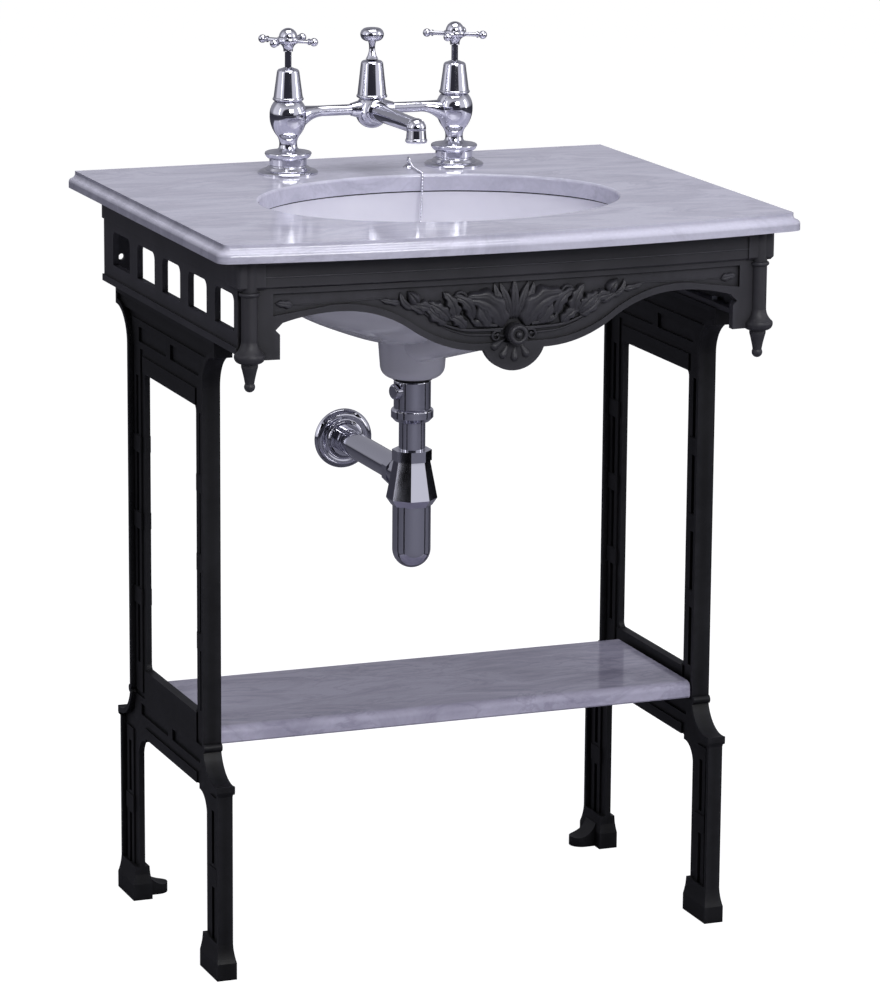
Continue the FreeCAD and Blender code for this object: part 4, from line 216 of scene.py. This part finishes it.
# Soft veins of a marble: broad clouds and thin broken lines.
def makeVeinGroup():
    tree, given, result = newGroup(
        "marbleVeins",
        [("Cloud Scale", "NodeSocketFloat", 5.0), ("Vein Scale", "NodeSocketFloat", 4.0),
         ("Turn", "NodeSocketVector", (0.0, 0.0, 0.6))],
        [("Cloud", "NodeSocketFloat"), ("Vein", "NodeSocketFloat"), ("Speck", "NodeSocketFloat")])
    place = addNode(tree, "ShaderNodeTexCoord").outputs["Object"]
    turned = addNode(tree, "ShaderNodeMapping")
    turned.inputs["Scale"].default_value = veinForm["stretch"]
    link(tree, place, turned.inputs["Vector"])
    link(tree, given.outputs["Turn"], turned.inputs["Rotation"])
    cloud = noiseNode(tree, turned.outputs[0], 5, 6, 0.62, 0.8)
    link(tree, given.outputs["Cloud Scale"], cloud.inputs["Scale"])
    swirl = noiseNode(tree, turned.outputs[0], 4, 8, 0.6, 1.4)
    link(tree, given.outputs["Vein Scale"], swirl.inputs["Scale"])
    away = mathNode(tree, "ABSOLUTE", mathNode(tree, "SUBTRACT", swirl.outputs["Fac"], 0.5))
    fall = mathNode(tree, "MULTIPLY", away, veinForm["sharp"])
    line = mathNode(tree, "SUBTRACT", 1.0, fall, clamp=True)
    broken = noiseNode(tree, turned.outputs[0], veinForm["breakScale"], 3, 0.5)
    kept = mathNode(tree, "MULTIPLY", broken.outputs["Fac"], veinForm["kept"])
    line = mathNode(tree, "MULTIPLY", line, kept, clamp=True)
    speck = noiseNode(tree, place, veinForm["speckScale"], 2, 0.5)
    link(tree, cloud.outputs["Fac"], result.inputs["Cloud"])
    link(tree, line, result.inputs["Vein"])
    link(tree, speck.outputs["Fac"], result.inputs["Speck"])
    return tree


grainGroup = makeGrainGroup()
edgeGroup = makeEdgeGroup()
veinGroup = makeVeinGroup()


def newMaterial(name, **shaderValues):
    material = bpy.data.materials.new(name)
    material.use_nodes = True
    tree = material.node_tree
    shader = tree.nodes["Principled BSDF"]
    setInputs(shader, shaderValues)
    return material, tree, shader


def useGroup(tree, group, **values):
    made = addNode(tree, "ShaderNodeGroup")
    made.node_tree = group
    for key, value in values.items():
        made.inputs[key].default_value = value
    return made.outputs


def addBump(tree, shader, height, strength, distance):
    bump = addNode(tree, "ShaderNodeBump")
    setInputs(bump, {"Strength": strength, "Distance": distance})
    link(tree, height, bump.inputs["Height"])
    link(tree, bump.outputs["Normal"], shader.inputs["Normal"])
    return bump


# materials
marbleLooks = {
    "top": {"pale": colour(193, 192, 209), "grey": colour(179, 178, 195), "vein": colour(150, 149, 168),
            "turn": (0.2, 0.1, 0.5), "scale": 7.0, "lines": 7.0, "depth": 0.35},
    "shelf": {"pale": colour(180, 177, 198), "grey": colour(160, 157, 178), "vein": colour(120, 118, 140),
              "turn": (0.1, 0.2, 0.15), "scale": 7.0, "lines": 8.0, "depth": 0.45},
}
marbleFinish = {"sparkle": 0.14, "least": 0.93, "polish": (0.07, 0.15)}


def marbleMaterial(name, look):
    material, tree, shader = newMaterial(name, Roughness=0.08, IOR=1.5)
    veins = useGroup(tree, veinGroup, **{"Turn": look["turn"], "Cloud Scale": look["scale"],
                                         "Vein Scale": look["lines"]})
    clouds = rampNode(tree, veins["Cloud"], [(0.38, look["grey"]), (0.55, look["pale"])])
    depth = mathNode(tree, "MULTIPLY", veins["Vein"], look["depth"])
    tone = mixColour(tree, depth, clouds.outputs["Color"], look["vein"])
    crystal = mathNode(tree, "MULTIPLY_ADD", veins["Speck"], marbleFinish["sparkle"], marbleFinish["least"])
    grey = addNode(tree, "ShaderNodeCombineColor")
    for socket in grey.inputs:
        link(tree, crystal, socket)
    tone = mixColour(tree, 1.0, tone, grey.outputs[0], "MULTIPLY")
    link(tree, tone, shader.inputs["Base Color"])
    feedRoughness(tree, shader, veins["Cloud"], marbleFinish["polish"])
    return material


chromeLooks = {
    "tone": colour(214, 214, 224),
    "recessShadeTone": colour(96, 96, 104),
    "recessShadeShare": 0.55,
    "reach": 0.004,
    "rough": (0.05, 0.12),
    "smear": 26.0,
    "fine": 700.0,
}


def chromeMaterial(name, look):
    material, tree, shader = newMaterial(name, Metallic=1.0)
    grain = useGroup(tree, grainGroup, **{"Fine Scale": look["fine"], "Cloud Scale": look["smear"]})
    feedRoughness(tree, shader, grain["Cloud"], look["rough"], (0.35, 0.75))
    edges = useGroup(tree, edgeGroup, **{"Reach": look["reach"]})
    # Painted shade: the chrome's colour is darkened in its recesses, where shade falls.
    recessShadeShare = mathNode(tree, "MULTIPLY", edges["Recess"], look["recessShadeShare"])
    link(tree, mixColour(tree, recessShadeShare, look["tone"], look["recessShadeTone"]), shader.inputs["Base Color"])
    addBump(tree, shader, grain["Height"], 0.02, 0.0004)
    return material


ironLooks = {
    "apron": {"tone": colour(45, 44, 50), "dark": colour(35, 35, 39), "worn": colour(78, 77, 86),
              "paintedShadeTone": colour(13, 13, 15), "shine": 0.45},
    # The frame row is painted shade: the same casting made darker and less shiny, as the side frames stand
    # in shade.
    "frame": {"tone": colour(22, 22, 25), "dark": colour(13, 13, 15), "worn": colour(50, 50, 56),
              "paintedShadeTone": colour(2, 2, 3), "shine": 0.2},
}
ironFinish = {"fine": 520.0, "cloud": 9.0, "reach": 0.009, "breakUp": 80.0, "wear": 0.6, "paintedShade": 1.5,
              "rough": (0.42, 0.58)}


def ironMaterial(name, look):
    material, tree, shader = newMaterial(name, Roughness=0.48)
    shader.inputs["Specular IOR Level"].default_value = look["shine"]
    scales = {"Fine Scale": ironFinish["fine"], "Cloud Scale": ironFinish["cloud"]}
    grain = useGroup(tree, grainGroup, **scales)
    tone = rampNode(tree, grain["Cloud"], [(0.35, look["dark"]), (0.62, look["tone"])])
    edges = useGroup(tree, edgeGroup, **{"Reach": ironFinish["reach"], "Break Up": ironFinish["breakUp"]})
    wear = mathNode(tree, "MULTIPLY", edges["Edge"], ironFinish["wear"])
    worn = mixColour(tree, wear, tone.outputs["Color"], look["worn"])
    # Painted shade: the casting's colour is darkened in its recesses, where shade falls.
    paintedShade = mathNode(tree, "MULTIPLY", edges["Recess"], ironFinish["paintedShade"], clamp=True)
    link(tree, mixColour(tree, paintedShade, worn, look["paintedShadeTone"]), shader.inputs["Base Color"])
    feedRoughness(tree, shader, grain["Cloud"], ironFinish["rough"])
    addBump(tree, shader, grain["Height"], 0.16, 0.0005)
    return material


glazeLooks = {
    "tone": colour(222, 221, 232),
    "shade": colour(212, 211, 224),
    "rough": (0.07, 0.14),
    "coat": 0.6,
    "coatRough": 0.04,
}


def glazeMaterial(name, look):
    material, tree, shader = newMaterial(name, Roughness=0.1)
    shader.inputs["Coat Weight"].default_value = look["coat"]
    shader.inputs["Coat Roughness"].default_value = look["coatRough"]
    grain = useGroup(tree, grainGroup, **{"Fine Scale": 160.0, "Cloud Scale": 7.0})
    tone = rampNode(tree, grain["Cloud"], [(0.3, look["shade"]), (0.7, look["tone"])])
    link(tree, tone.outputs["Color"], shader.inputs["Base Color"])
    feedRoughness(tree, shader, grain["Cloud"], look["rough"])
    addBump(tree, shader, grain["Height"], 0.03, 0.001)
    return material


def plainMaterial(name, tone, dark, rough, metal=0.0, fine=600.0, bump=0.12):
    material, tree, shader = newMaterial(name, Metallic=metal)
    grain = useGroup(tree, grainGroup, **{"Fine Scale": fine, "Cloud Scale": 30.0})
    edges = useGroup(tree, edgeGroup, **{"Reach": 0.003})
    shades = rampNode(tree, grain["Cloud"], [(0.35, dark), (0.65, tone)])
    # Painted shade: the colour is darkened towards the dark tone in recesses, where shade falls.
    toneWithRecessShade = mixColour(tree, mathNode(tree, "MULTIPLY", edges["Recess"], 0.5), shades.outputs["Color"], dark)
    link(tree, toneWithRecessShade, shader.inputs["Base Color"])
    feedRoughness(tree, shader, grain["Cloud"], (rough - 0.06, rough + 0.08))
    addBump(tree, shader, grain["Height"], bump, 0.0004)
    return material


materials = {
    "marble": marbleMaterial("greyVeinedMarble", marbleLooks["top"]),
    "shelf_marble": marbleMaterial("shelfMarble", marbleLooks["shelf"]),
    "ceramic": glazeMaterial("glazedChina", glazeLooks),
    "chrome": chromeMaterial("polishedChrome", chromeLooks),
    "cast_iron": ironMaterial("charcoalCasting", ironLooks["apron"]),
    "frame_iron_painted_shade": ironMaterial("frameCastingPaintedShade", ironLooks["frame"]),
    "zinc_steel": plainMaterial("zincPlate", colour(160, 162, 166), colour(110, 112, 118), 0.32, 1.0),
    "brass": plainMaterial("plainBrass", colour(186, 150, 84), colour(140, 108, 56), 0.3, 1.0),
    "fibre": plainMaterial("redFibre", colour(120, 44, 36), colour(84, 30, 26), 0.7, fine=300.0, bump=0.3),
    "seal_rubber": plainMaterial("blackRubber", colour(34, 34, 35), colour(22, 22, 23), 0.6,
                                 fine=400.0, bump=0.2),
    "plug_rubber": plainMaterial("whiteRubber", colour(214, 212, 206), colour(188, 186, 180), 0.45,
                                 fine=300.0, bump=0.1),
}

for part in frame["record"]["subparts"]:
    holder = nodes[part["node"]].data
    holder.materials.clear()
    # The side frames take the darker copy of the casting, which is painted shade.
    finish = "frame_iron_painted_shade" if part["node"].startswith("side_frame") else part["material_slot"]
    holder.materials.append(materials[finish])
print("materials placed on the frame")


# mesh tools
def newPiece(name, mesh, body, slot, smooth=True):
    for face in mesh.polygons:
        face.use_smooth = smooth
    piece = bpy.data.objects.new(name, mesh)
    bpy.context.scene.collection.objects.link(piece)
    mesh.materials.append(materials[slot])
    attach(piece, body)
    return piece


def meshFrom(name, points, faces):
    mesh = bpy.data.meshes.new(name)
    mesh.from_pydata([tuple(p) for p in points], [], faces)
    mesh.update()
    return mesh


# carved front
apron = {
    "cornerY": -246 * mm,
    "bow": 14 * mm,
    "half": 309 * mm,
    "fieldDepth": 4 * mm,
    "bandProud": 3 * mm,
    "postReach": 15 * mm,
}
carvingMesh = {"leafRows": 34, "leafCols": 15, "stemCols": 8, "stemSteps": 12, "leastHalf": 0.2 * mm,
               "edgeSink": 1.2 * mm}
leafVein = {"depth": 0.35, "width": 0.13, "ribs": 0.10}
stemCrease = {"depth": 0.18, "width": 0.2}
scrollWind = 0.78  # share of its radius that a scroll loses on the way in


def fieldY(x):
    return apron["cornerY"] - apron["bow"] * (1 - (x / apron["half"]) ** 2) + apron["fieldDepth"]


# One carved leaf: crowned across, lobed along its sides, with a middle vein,
# laid on the field of the apron along a bent line.
def leafPoints(leaf, side):
    rows, cols = carvingMesh["leafRows"], carvingMesh["leafCols"]
    length, width, height = leaf["length"] * mm, leaf["width"] * mm, leaf["height"] * mm
    heading = math.radians(leaf["angle"])
    bend = math.radians(leaf.get("bend", 0))
    lobes, depth = leaf.get("lobes", 0), leaf.get("lobeDepth", 0.3)
    x, z = leaf["x"] * mm, leaf["z"] * mm
    points = []
    for i in range(rows + 1):
        s = i / rows
        angle = heading + bend * s
        if i:
            x += math.cos(angle) * length / rows
            z += math.sin(angle) * length / rows
        swell = math.sin(math.pi * min(1, s ** leaf.get("early", 0.75))) ** 0.7
        cut = 1 - depth * (0.5 + 0.5 * math.cos(2 * math.pi * lobes * s)) if lobes else 1
        half = width / 2 * swell * cut + carvingMesh["leastHalf"]
        rise = height * (math.sin(math.pi * (0.06 + 0.9 * s)) ** 0.6) + leaf.get("tip", 0) * mm * s * s
        for j in range(cols + 1):
            t = 2 * j / cols - 1
            crown = math.sqrt(max(0, 1 - t * t * 0.98))
            vein = 1 - leafVein["depth"] * math.exp(-(t / leafVein["width"]) ** 2)
            ribs = 1 + leafVein["ribs"] * math.cos(math.pi * 3 * abs(t)) if leaf.get("ribs", True) else 1
            up = rise * crown * vein * ribs - carvingMesh["edgeSink"] * abs(t) ** 6
            px = x - math.sin(angle) * half * t
            pz = z + math.cos(angle) * half * t
            points.append((side * px, fieldY(px) - up, pz))
    return points, gridFaces(rows, cols, side)


# A raised stem along a smooth line: widest at its start, half round, creased
# along its middle, with a bulb where it ends.
def stemPoints(stem, side):
    line = smoothLine(stem["line"], carvingMesh["stemSteps"])
    cols = carvingMesh["stemCols"]
    width, tip, height = stem["width"] * mm, stem.get("tip", 1.5) * mm, stem["height"] * mm
    points = []
    for i, (x, z) in enumerate(line):
        s = i / (len(line) - 1)
        before, after = line[max(i - 1, 0)], line[min(i + 1, len(line) - 1)]
        run = math.hypot(after[0] - before[0], after[1] - before[1])
        across = (-(after[1] - before[1]) / run, (after[0] - before[0]) / run)
        half = (width * (1 - s) + tip * s) / 2
        if stem.get("bulb") and s > 0.8:
            half += stem["bulb"] * mm * math.sin(math.pi * (s - 0.8) / 0.2) ** 0.7
        if i in (0, len(line) - 1):
            half = carvingMesh["leastHalf"]
        rise = height * min(1, half / (width / 2)) ** 0.8
        for j in range(cols + 1):
            t = 2 * j / cols - 1
            crown = math.sqrt(max(0, 1 - t * t * 0.97))
            crease = 1 - stemCrease["depth"] * math.exp(-(t / stemCrease["width"]) ** 2)
            up = rise * crown * crease - carvingMesh["edgeSink"] * t ** 6
            px, pz = x * mm + across[0] * half * t, z * mm + across[1] * half * t
            points.append((side * px, fieldY(px) - up, pz))
    return points, gridFaces(len(line) - 1, cols, side)


# A line through all the places, bending smoothly at each.
def smoothLine(places, steps):
    ends = [places[0]] + places + [places[-1]]
    line = []
    for k in range(1, len(ends) - 2):
        a, b, c, d = ends[k - 1:k + 3]
        for n in range(steps):
            s = n / steps
            line.append(tuple(
                0.5 * (2 * b[m] + (c[m] - a[m]) * s + (2 * a[m] - 5 * b[m] + 4 * c[m] - d[m]) * s * s
                       + (3 * b[m] - 3 * c[m] + d[m] - a[m]) * s ** 3) for m in (0, 1)))
    return line + [tuple(places[-1])]


# Places on a scroll that winds in round its eye.
def scrollLine(eye, radius, start, turns, way=1):
    count = int(10 * turns) + 2
    line = []
    for n in range(count):
        s = n / (count - 1)
        r = radius * (1 - scrollWind * s)
        angle = math.radians(start + way * 360 * turns * s)
        line.append((eye[0] + r * math.cos(angle), eye[1] + r * math.sin(angle)))
    return line


def gridFaces(rows, cols, side):
    faces = []
    for i in range(rows):
        for j in range(cols):
            a = i * (cols + 1) + j
            quad = (a, a + 1, a + cols + 2, a + cols + 1)
            faces.append(quad if side > 0 else tuple(reversed(quad)))
    return faces


carving = {
    "middle": [
        {"x": 0, "z": 777, "length": 46, "width": 12, "height": 6.5, "angle": 90, "early": 0.9},
    ],
    "leaves": [
        {"x": 3, "z": 777, "length": 44, "width": 12, "height": 6.0, "angle": 76, "bend": -10, "early": 0.9},
        {"x": 8, "z": 775, "length": 46, "width": 13, "height": 6.0, "angle": 62, "bend": 14, "early": 0.9},
        {"x": 15, "z": 768, "length": 66, "width": 36, "height": 10, "angle": 88, "bend": -104, "lobes": 4,
         "lobeDepth": 0.25, "tip": 2},
        {"x": 26, "z": 772, "length": 38, "width": 24, "height": 9.5, "angle": 28, "bend": 78, "lobes": 3,
         "lobeDepth": 0.22, "tip": 1},
        {"x": 52, "z": 778, "length": 42, "width": 21, "height": 8.5, "angle": 104, "bend": -108, "lobes": 3,
         "lobeDepth": 0.3},
        {"x": 58, "z": 769, "length": 30, "width": 18, "height": 7.5, "angle": 60, "bend": -50, "lobes": 3},
        {"x": 72, "z": 776, "length": 40, "width": 22, "height": 8.5, "angle": 100, "bend": -60, "lobes": 4,
         "lobeDepth": 0.35, "tip": 1},
        {"x": 77, "z": 779, "length": 36, "width": 21, "height": 8.5, "angle": 56, "bend": -34, "lobes": 4,
         "lobeDepth": 0.35},
        {"x": 80, "z": 777, "length": 36, "width": 18, "height": 7.5, "angle": 22, "bend": 34, "lobes": 3,
         "lobeDepth": 0.35},
        {"x": 97, "z": 790, "length": 28, "width": 17, "height": 7.0, "angle": 52, "bend": -74, "lobes": 3},
        {"x": 104, "z": 791, "length": 27, "width": 12, "height": 5.5, "angle": 8, "bend": 36, "lobes": 2},
        {"x": 115, "z": 799, "length": 20, "width": 15, "height": 8.5, "angle": 58, "bend": -10,
         "ribs": False},
        {"x": 120, "z": 796, "length": 26, "width": 9, "height": 6, "angle": 6, "bend": 84},
        {"x": 134, "z": 802, "length": 26, "width": 9, "height": 4.5, "angle": 8, "bend": 6, "lobes": 2},
        {"x": 260, "z": 805, "length": 20, "width": 11, "height": 4.0, "angle": 20, "bend": -20, "lobes": 2},
    ],
    "stems": [
        {"line": [(12, 766), (34, 766), (62, 768), (88, 777), (108, 790), (121, 802)],
         "width": 5.5, "tip": 2.4, "height": 4.0},
        {"line": [(10, 758), (30, 760), (56, 762), (78, 769), (92, 777)], "width": 4.0, "tip": 1.2,
         "height": 2.8},
        {"line": [(20, 771), (34, 772)] + scrollLine((42, 785), 12, -80, 1.15), "width": 6.0, "tip": 3.0,
         "height": 5.5, "bulb": 1.6},
        {"line": [(16, 764)] + scrollLine((21, 758), 6.5, 110, 1.1, -1), "width": 4.0, "tip": 2.4,
         "height": 4.5, "bulb": 1.4},
        {"line": [(58, 790)] + scrollLine((66, 804), 8.5, 190, 1.0, -1), "width": 5.0, "tip": 2.6,
         "height": 5.0, "bulb": 1.4},
        {"line": [(96, 786)] + scrollLine((100, 797), 7.5, 250, 0.9), "width": 4.2, "tip": 2.2,
         "height": 4.2, "bulb": 1.2},
        {"line": [(138, 804), (160, 808), (190, 807), (222, 806), (262, 806)], "width": 2.2, "tip": 1.2,
         "height": 1.2},
    ],
}


def addCarving():
    points, faces = [], []

    def take(made):
        start = len(points)
        points.extend(made[0])
        faces.extend(tuple(start + v for v in quad) for quad in made[1])

    for leaf in carving["middle"]:
        take(leafPoints(leaf, 1))
    for side in (1, -1):
        for leaf in carving["leaves"]:
            take(leafPoints(leaf, side))
        for stem in carving["stems"]:
            take(stemPoints(stem, side))
    newPiece("carvedFoliage", meshFrom("carvedFoliage", points, faces), "stand", "cast_iron")


# Height of the lower edge, thickness and how far it stands proud, in mm.
fillets = {"bandFilletHigh": (853, 4.0, 1.6), "bandFilletLow": (838, 1.6, 0.7)}
filletSteps = 48


# A thin fillet that runs along the apron's band.
def addFillet(name, height, thick, proud):
    half = apron["half"] - apron["postReach"]
    section = ((0.2, 0), (-proud * 0.7, 0), (-proud, thick * 0.3), (-proud, thick * 0.7),
               (-proud * 0.7, thick), (0.2, thick))
    points = []
    for k in range(filletSteps + 1):
        x = half * (2 * k / filletSteps - 1)
        face = fieldY(x) - apron["fieldDepth"] - apron["bandProud"]
        points.extend((x, face + dy * mm, (height + dz) * mm) for dy, dz in section)
    ring = len(section)
    faces = []
    for k in range(filletSteps):
        for n in range(ring - 1):
            a = k * ring + n
            faces.append((a, a + ring, a + ring + 1, a + 1))
    newPiece(name, meshFrom(name, points, faces), "stand", "cast_iron")


for filletName, filletSize in fillets.items():
    addFillet(filletName, *filletSize)
addCarving()
print("carving done")


# plug chain
chain = {
    "route": [
        (48.0, 196.0, 886.6), (47.2, 186.0, 882.8), (45.4, 170.0, 881.9), (43.4, 152.0, 881.9),
        (42.2, 138.8, 882.1), (41.6, 138.0, 870.0), (40.0, 135.6, 848.0), (37.0, 132.6, 820.0),
        (32.6, 128.0, 786.0), (26.0, 116.0, 750.0), (18.0, 98.5, 723.0), (10.0, 84.0, 712.4),
        (4.5, 74.0, 711.6), (1.0, 65.5, 713.0),
    ],
    "beadRadius": 1.5 * mm,
    "wireRadius": 0.5 * mm,
    "pitch": 3.7 * mm,
    "length": 0.2645,
}


# The smooth line of the route, read from its own spline.
def routeLine(places):
    curve = bpy.data.curves.new("chainRoute", "CURVE")
    curve.dimensions = "3D"
    curve.resolution_u = 12
    spline = curve.splines.new("NURBS")
    spline.points.add(len(places) - 1)
    for spot, place in zip(spline.points, places):
        spot.co = (*(v * mm for v in place), 1)
    spline.order_u = 3
    spline.use_endpoint_u = True
    holder = bpy.data.objects.new("chainRoute", curve)
    bpy.context.scene.collection.objects.link(holder)
    bpy.context.view_layer.update()
    mesh = bpy.data.meshes.new_from_object(holder)
    line = [v.co.copy() for v in mesh.vertices]
    bpy.data.objects.remove(holder)
    bpy.data.meshes.remove(mesh)
    return line


# Places along the line, one bead apart.
def alongLine(line, pitch):
    places, left = [line[0].copy()], pitch
    for a, b in zip(line, line[1:]):
        run = (b - a).length
        while left <= run:
            a = a + (b - a) * (left / run)
            places.append(a.copy())
            run -= left
            left = pitch
        left -= run
    return places


def addTube(grid, line, radius, sides):
    before = None
    side = Vector((1, 0, 0))
    for k, spot in enumerate(line):
        ahead = (line[min(k + 1, len(line) - 1)] - line[max(k - 1, 0)]).normalized()
        side = (side - ahead * side.dot(ahead)).normalized()
        other = ahead.cross(side)
        ring = []
        for n in range(sides):
            turn = 2 * math.pi * n / sides
            across = side * (radius * math.cos(turn)) + other * (radius * math.sin(turn))
            ring.append(grid.verts.new(spot + across))
        if before:
            for n in range(sides):
                m = (n + 1) % sides
                grid.faces.new((before[n], before[m], ring[m], ring[n]))
        else:
            grid.faces.new(list(reversed(ring)))
        before = ring
    grid.faces.new(before)


def addChain():
    line = routeLine(chain["route"])
    grid = bmesh.new()
    addTube(grid, line, chain["wireRadius"], 8)
    for spot in alongLine(line, chain["pitch"]):
        bmesh.ops.create_uvsphere(grid, u_segments=12, v_segments=8, radius=chain["beadRadius"],
                                  matrix=Matrix.Translation(spot))
    mesh = bpy.data.meshes.new("ballChain")
    grid.to_mesh(mesh)
    grid.free()
    piece = bpy.data.objects.new("ballChain", mesh)
    bpy.context.scene.collection.objects.link(piece)
    for face in mesh.polygons:
        face.use_smooth = True
    mesh.materials.append(materials["chrome"])
    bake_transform(piece)
    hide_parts("plug_chain")


addChain()
print("chain done")


# studio
studio = {
    "floorTone": colour(176, 176, 182),
    "floorGlow": 1.9,
    "floorGlossy": colour(118, 118, 128),
    "floorHalf": 12,
    "world": 0.24,
    "worldTone": (0.90, 0.90, 1.0, 1),
    "darkToward": (-0.36, -0.93, 0.0),
    "around": [(0.0, (0.30, 0.30, 0.34)), (0.30, (0.34, 0.34, 0.38)), (0.42, (0.86, 0.86, 0.92)),
               (0.885, (0.74, 0.74, 0.80)), (0.92, (0.035, 0.035, 0.045))],
    "level": [(0.36, (0.10,) * 3), (0.47, (0.45,) * 3), (0.52, (1.0,) * 3), (0.80, (0.9,) * 3),
              (0.92, (0.4,) * 3)],
    "lamps": [
        {"name": "keyLamp", "place": (0.1, -3.9, 2.7), "size": (1.8, 1.4), "power": 92},
        {"name": "rightLamp", "place": (2.8, -1.4, 1.7), "size": (0.8, 2.2), "power": 14},
        {"name": "topLamp", "place": (0.0, -0.3, 3.4), "size": (2.0, 1.6), "power": 50},
        {"name": "leftStrip", "place": (-3.2, -0.6, 1.9), "size": (0.35, 2.0), "power": 5},
    ],
}


# What polished pieces see: a dark room straight ahead, pale screens to both
# sides, and less light from below and from the back. It is fixed in the room.
def glossyTone(tree):
    place = addNode(tree, "ShaderNodeTexCoord").outputs["Generated"]
    ahead = addNode(tree, "ShaderNodeVectorMath", operation="DOT_PRODUCT")
    link(tree, place, ahead.inputs[0])
    ahead.inputs[1].default_value = studio["darkToward"]
    split = addNode(tree, "ShaderNodeSeparateXYZ")
    link(tree, place, split.inputs[0])
    around, level = (
        rampNode(tree, mathNode(tree, "MULTIPLY_ADD", source, 0.5, 0.5), studio[stops])
        for source, stops in ((ahead.outputs["Value"], "around"), (split.outputs["Z"], "level")))
    return mixColour(tree, 1.0, around.outputs["Color"], level.outputs["Color"], "MULTIPLY")


def addWorld():
    world = bpy.data.worlds.new("studioWorld")
    world.use_nodes = True
    bpy.context.scene.world = world
    tree = world.node_tree
    rays = addNode(tree, "ShaderNodeLightPath")
    soft = tree.nodes["Background"]
    soft.inputs["Color"].default_value = studio["worldTone"]
    soft.inputs["Strength"].default_value = studio["world"]
    mirror = addNode(tree, "ShaderNodeBackground")
    link(tree, glossyTone(tree), mirror.inputs["Color"])
    white = addNode(tree, "ShaderNodeBackground")
    white.inputs["Color"].default_value = (1, 1, 1, 1)
    seen = mathNode(tree, "MAXIMUM", rays.outputs["Is Camera Ray"], rays.outputs["Is Transmission Ray"])
    light = mixShader(tree, rays.outputs["Is Glossy Ray"], soft.outputs[0], mirror.outputs[0])
    light = mixShader(tree, seen, light, white.outputs[0])
    link(tree, light, tree.nodes["World Output"].inputs["Surface"])


def addLamp(lamp):
    data = bpy.data.lights.new(lamp["name"], "AREA")
    data.shape = "RECTANGLE"
    data.size, data.size_y = lamp["size"]
    data.energy = lamp["power"]
    holder = bpy.data.objects.new(lamp["name"], data)
    holder.location = lamp["place"]
    aim = Vector((0, 0, 0.7)) - Vector(lamp["place"])
    holder.rotation_euler = aim.to_track_quat("-Z", "Y").to_euler()
    bpy.context.scene.collection.objects.link(holder)


def addFloor():
    half = studio["floorHalf"]
    corners = [(-half, -half, 0), (half, -half, 0), (half, half, 0), (-half, half, 0)]
    mesh = meshFrom("studioFloor", corners, [(0, 1, 2, 3)])
    floor = bpy.data.objects.new("studioFloor", mesh)
    bpy.context.scene.collection.objects.link(floor)
    material, tree, shader = newMaterial("studioFloor", Roughness=0.9)
    shader.inputs["Base Color"].default_value = studio["floorTone"]
    shader.inputs["Specular IOR Level"].default_value = 0.0
    rays = addNode(tree, "ShaderNodeLightPath")
    glow = addNode(tree, "ShaderNodeEmission")
    glow.inputs["Strength"].default_value = studio["floorGlow"]
    dim = addNode(tree, "ShaderNodeBsdfDiffuse")
    dim.inputs["Color"].default_value = studio["floorGlossy"]
    share = mathNode(tree, "MULTIPLY", rays.outputs["Is Camera Ray"], 0.5)
    bright = mixShader(tree, share, shader.outputs[0], glow.outputs[0])
    shown = mixShader(tree, rays.outputs["Is Glossy Ray"], bright, dim.outputs[0])
    link(tree, shown, tree.nodes["Material Output"].inputs["Surface"])
    mesh.materials.append(material)


addWorld()
for lamp in studio["lamps"]:
    addLamp(lamp)
addFloor()

scene = bpy.context.scene
scene.view_settings.view_transform = "Standard"
print("scene ready")
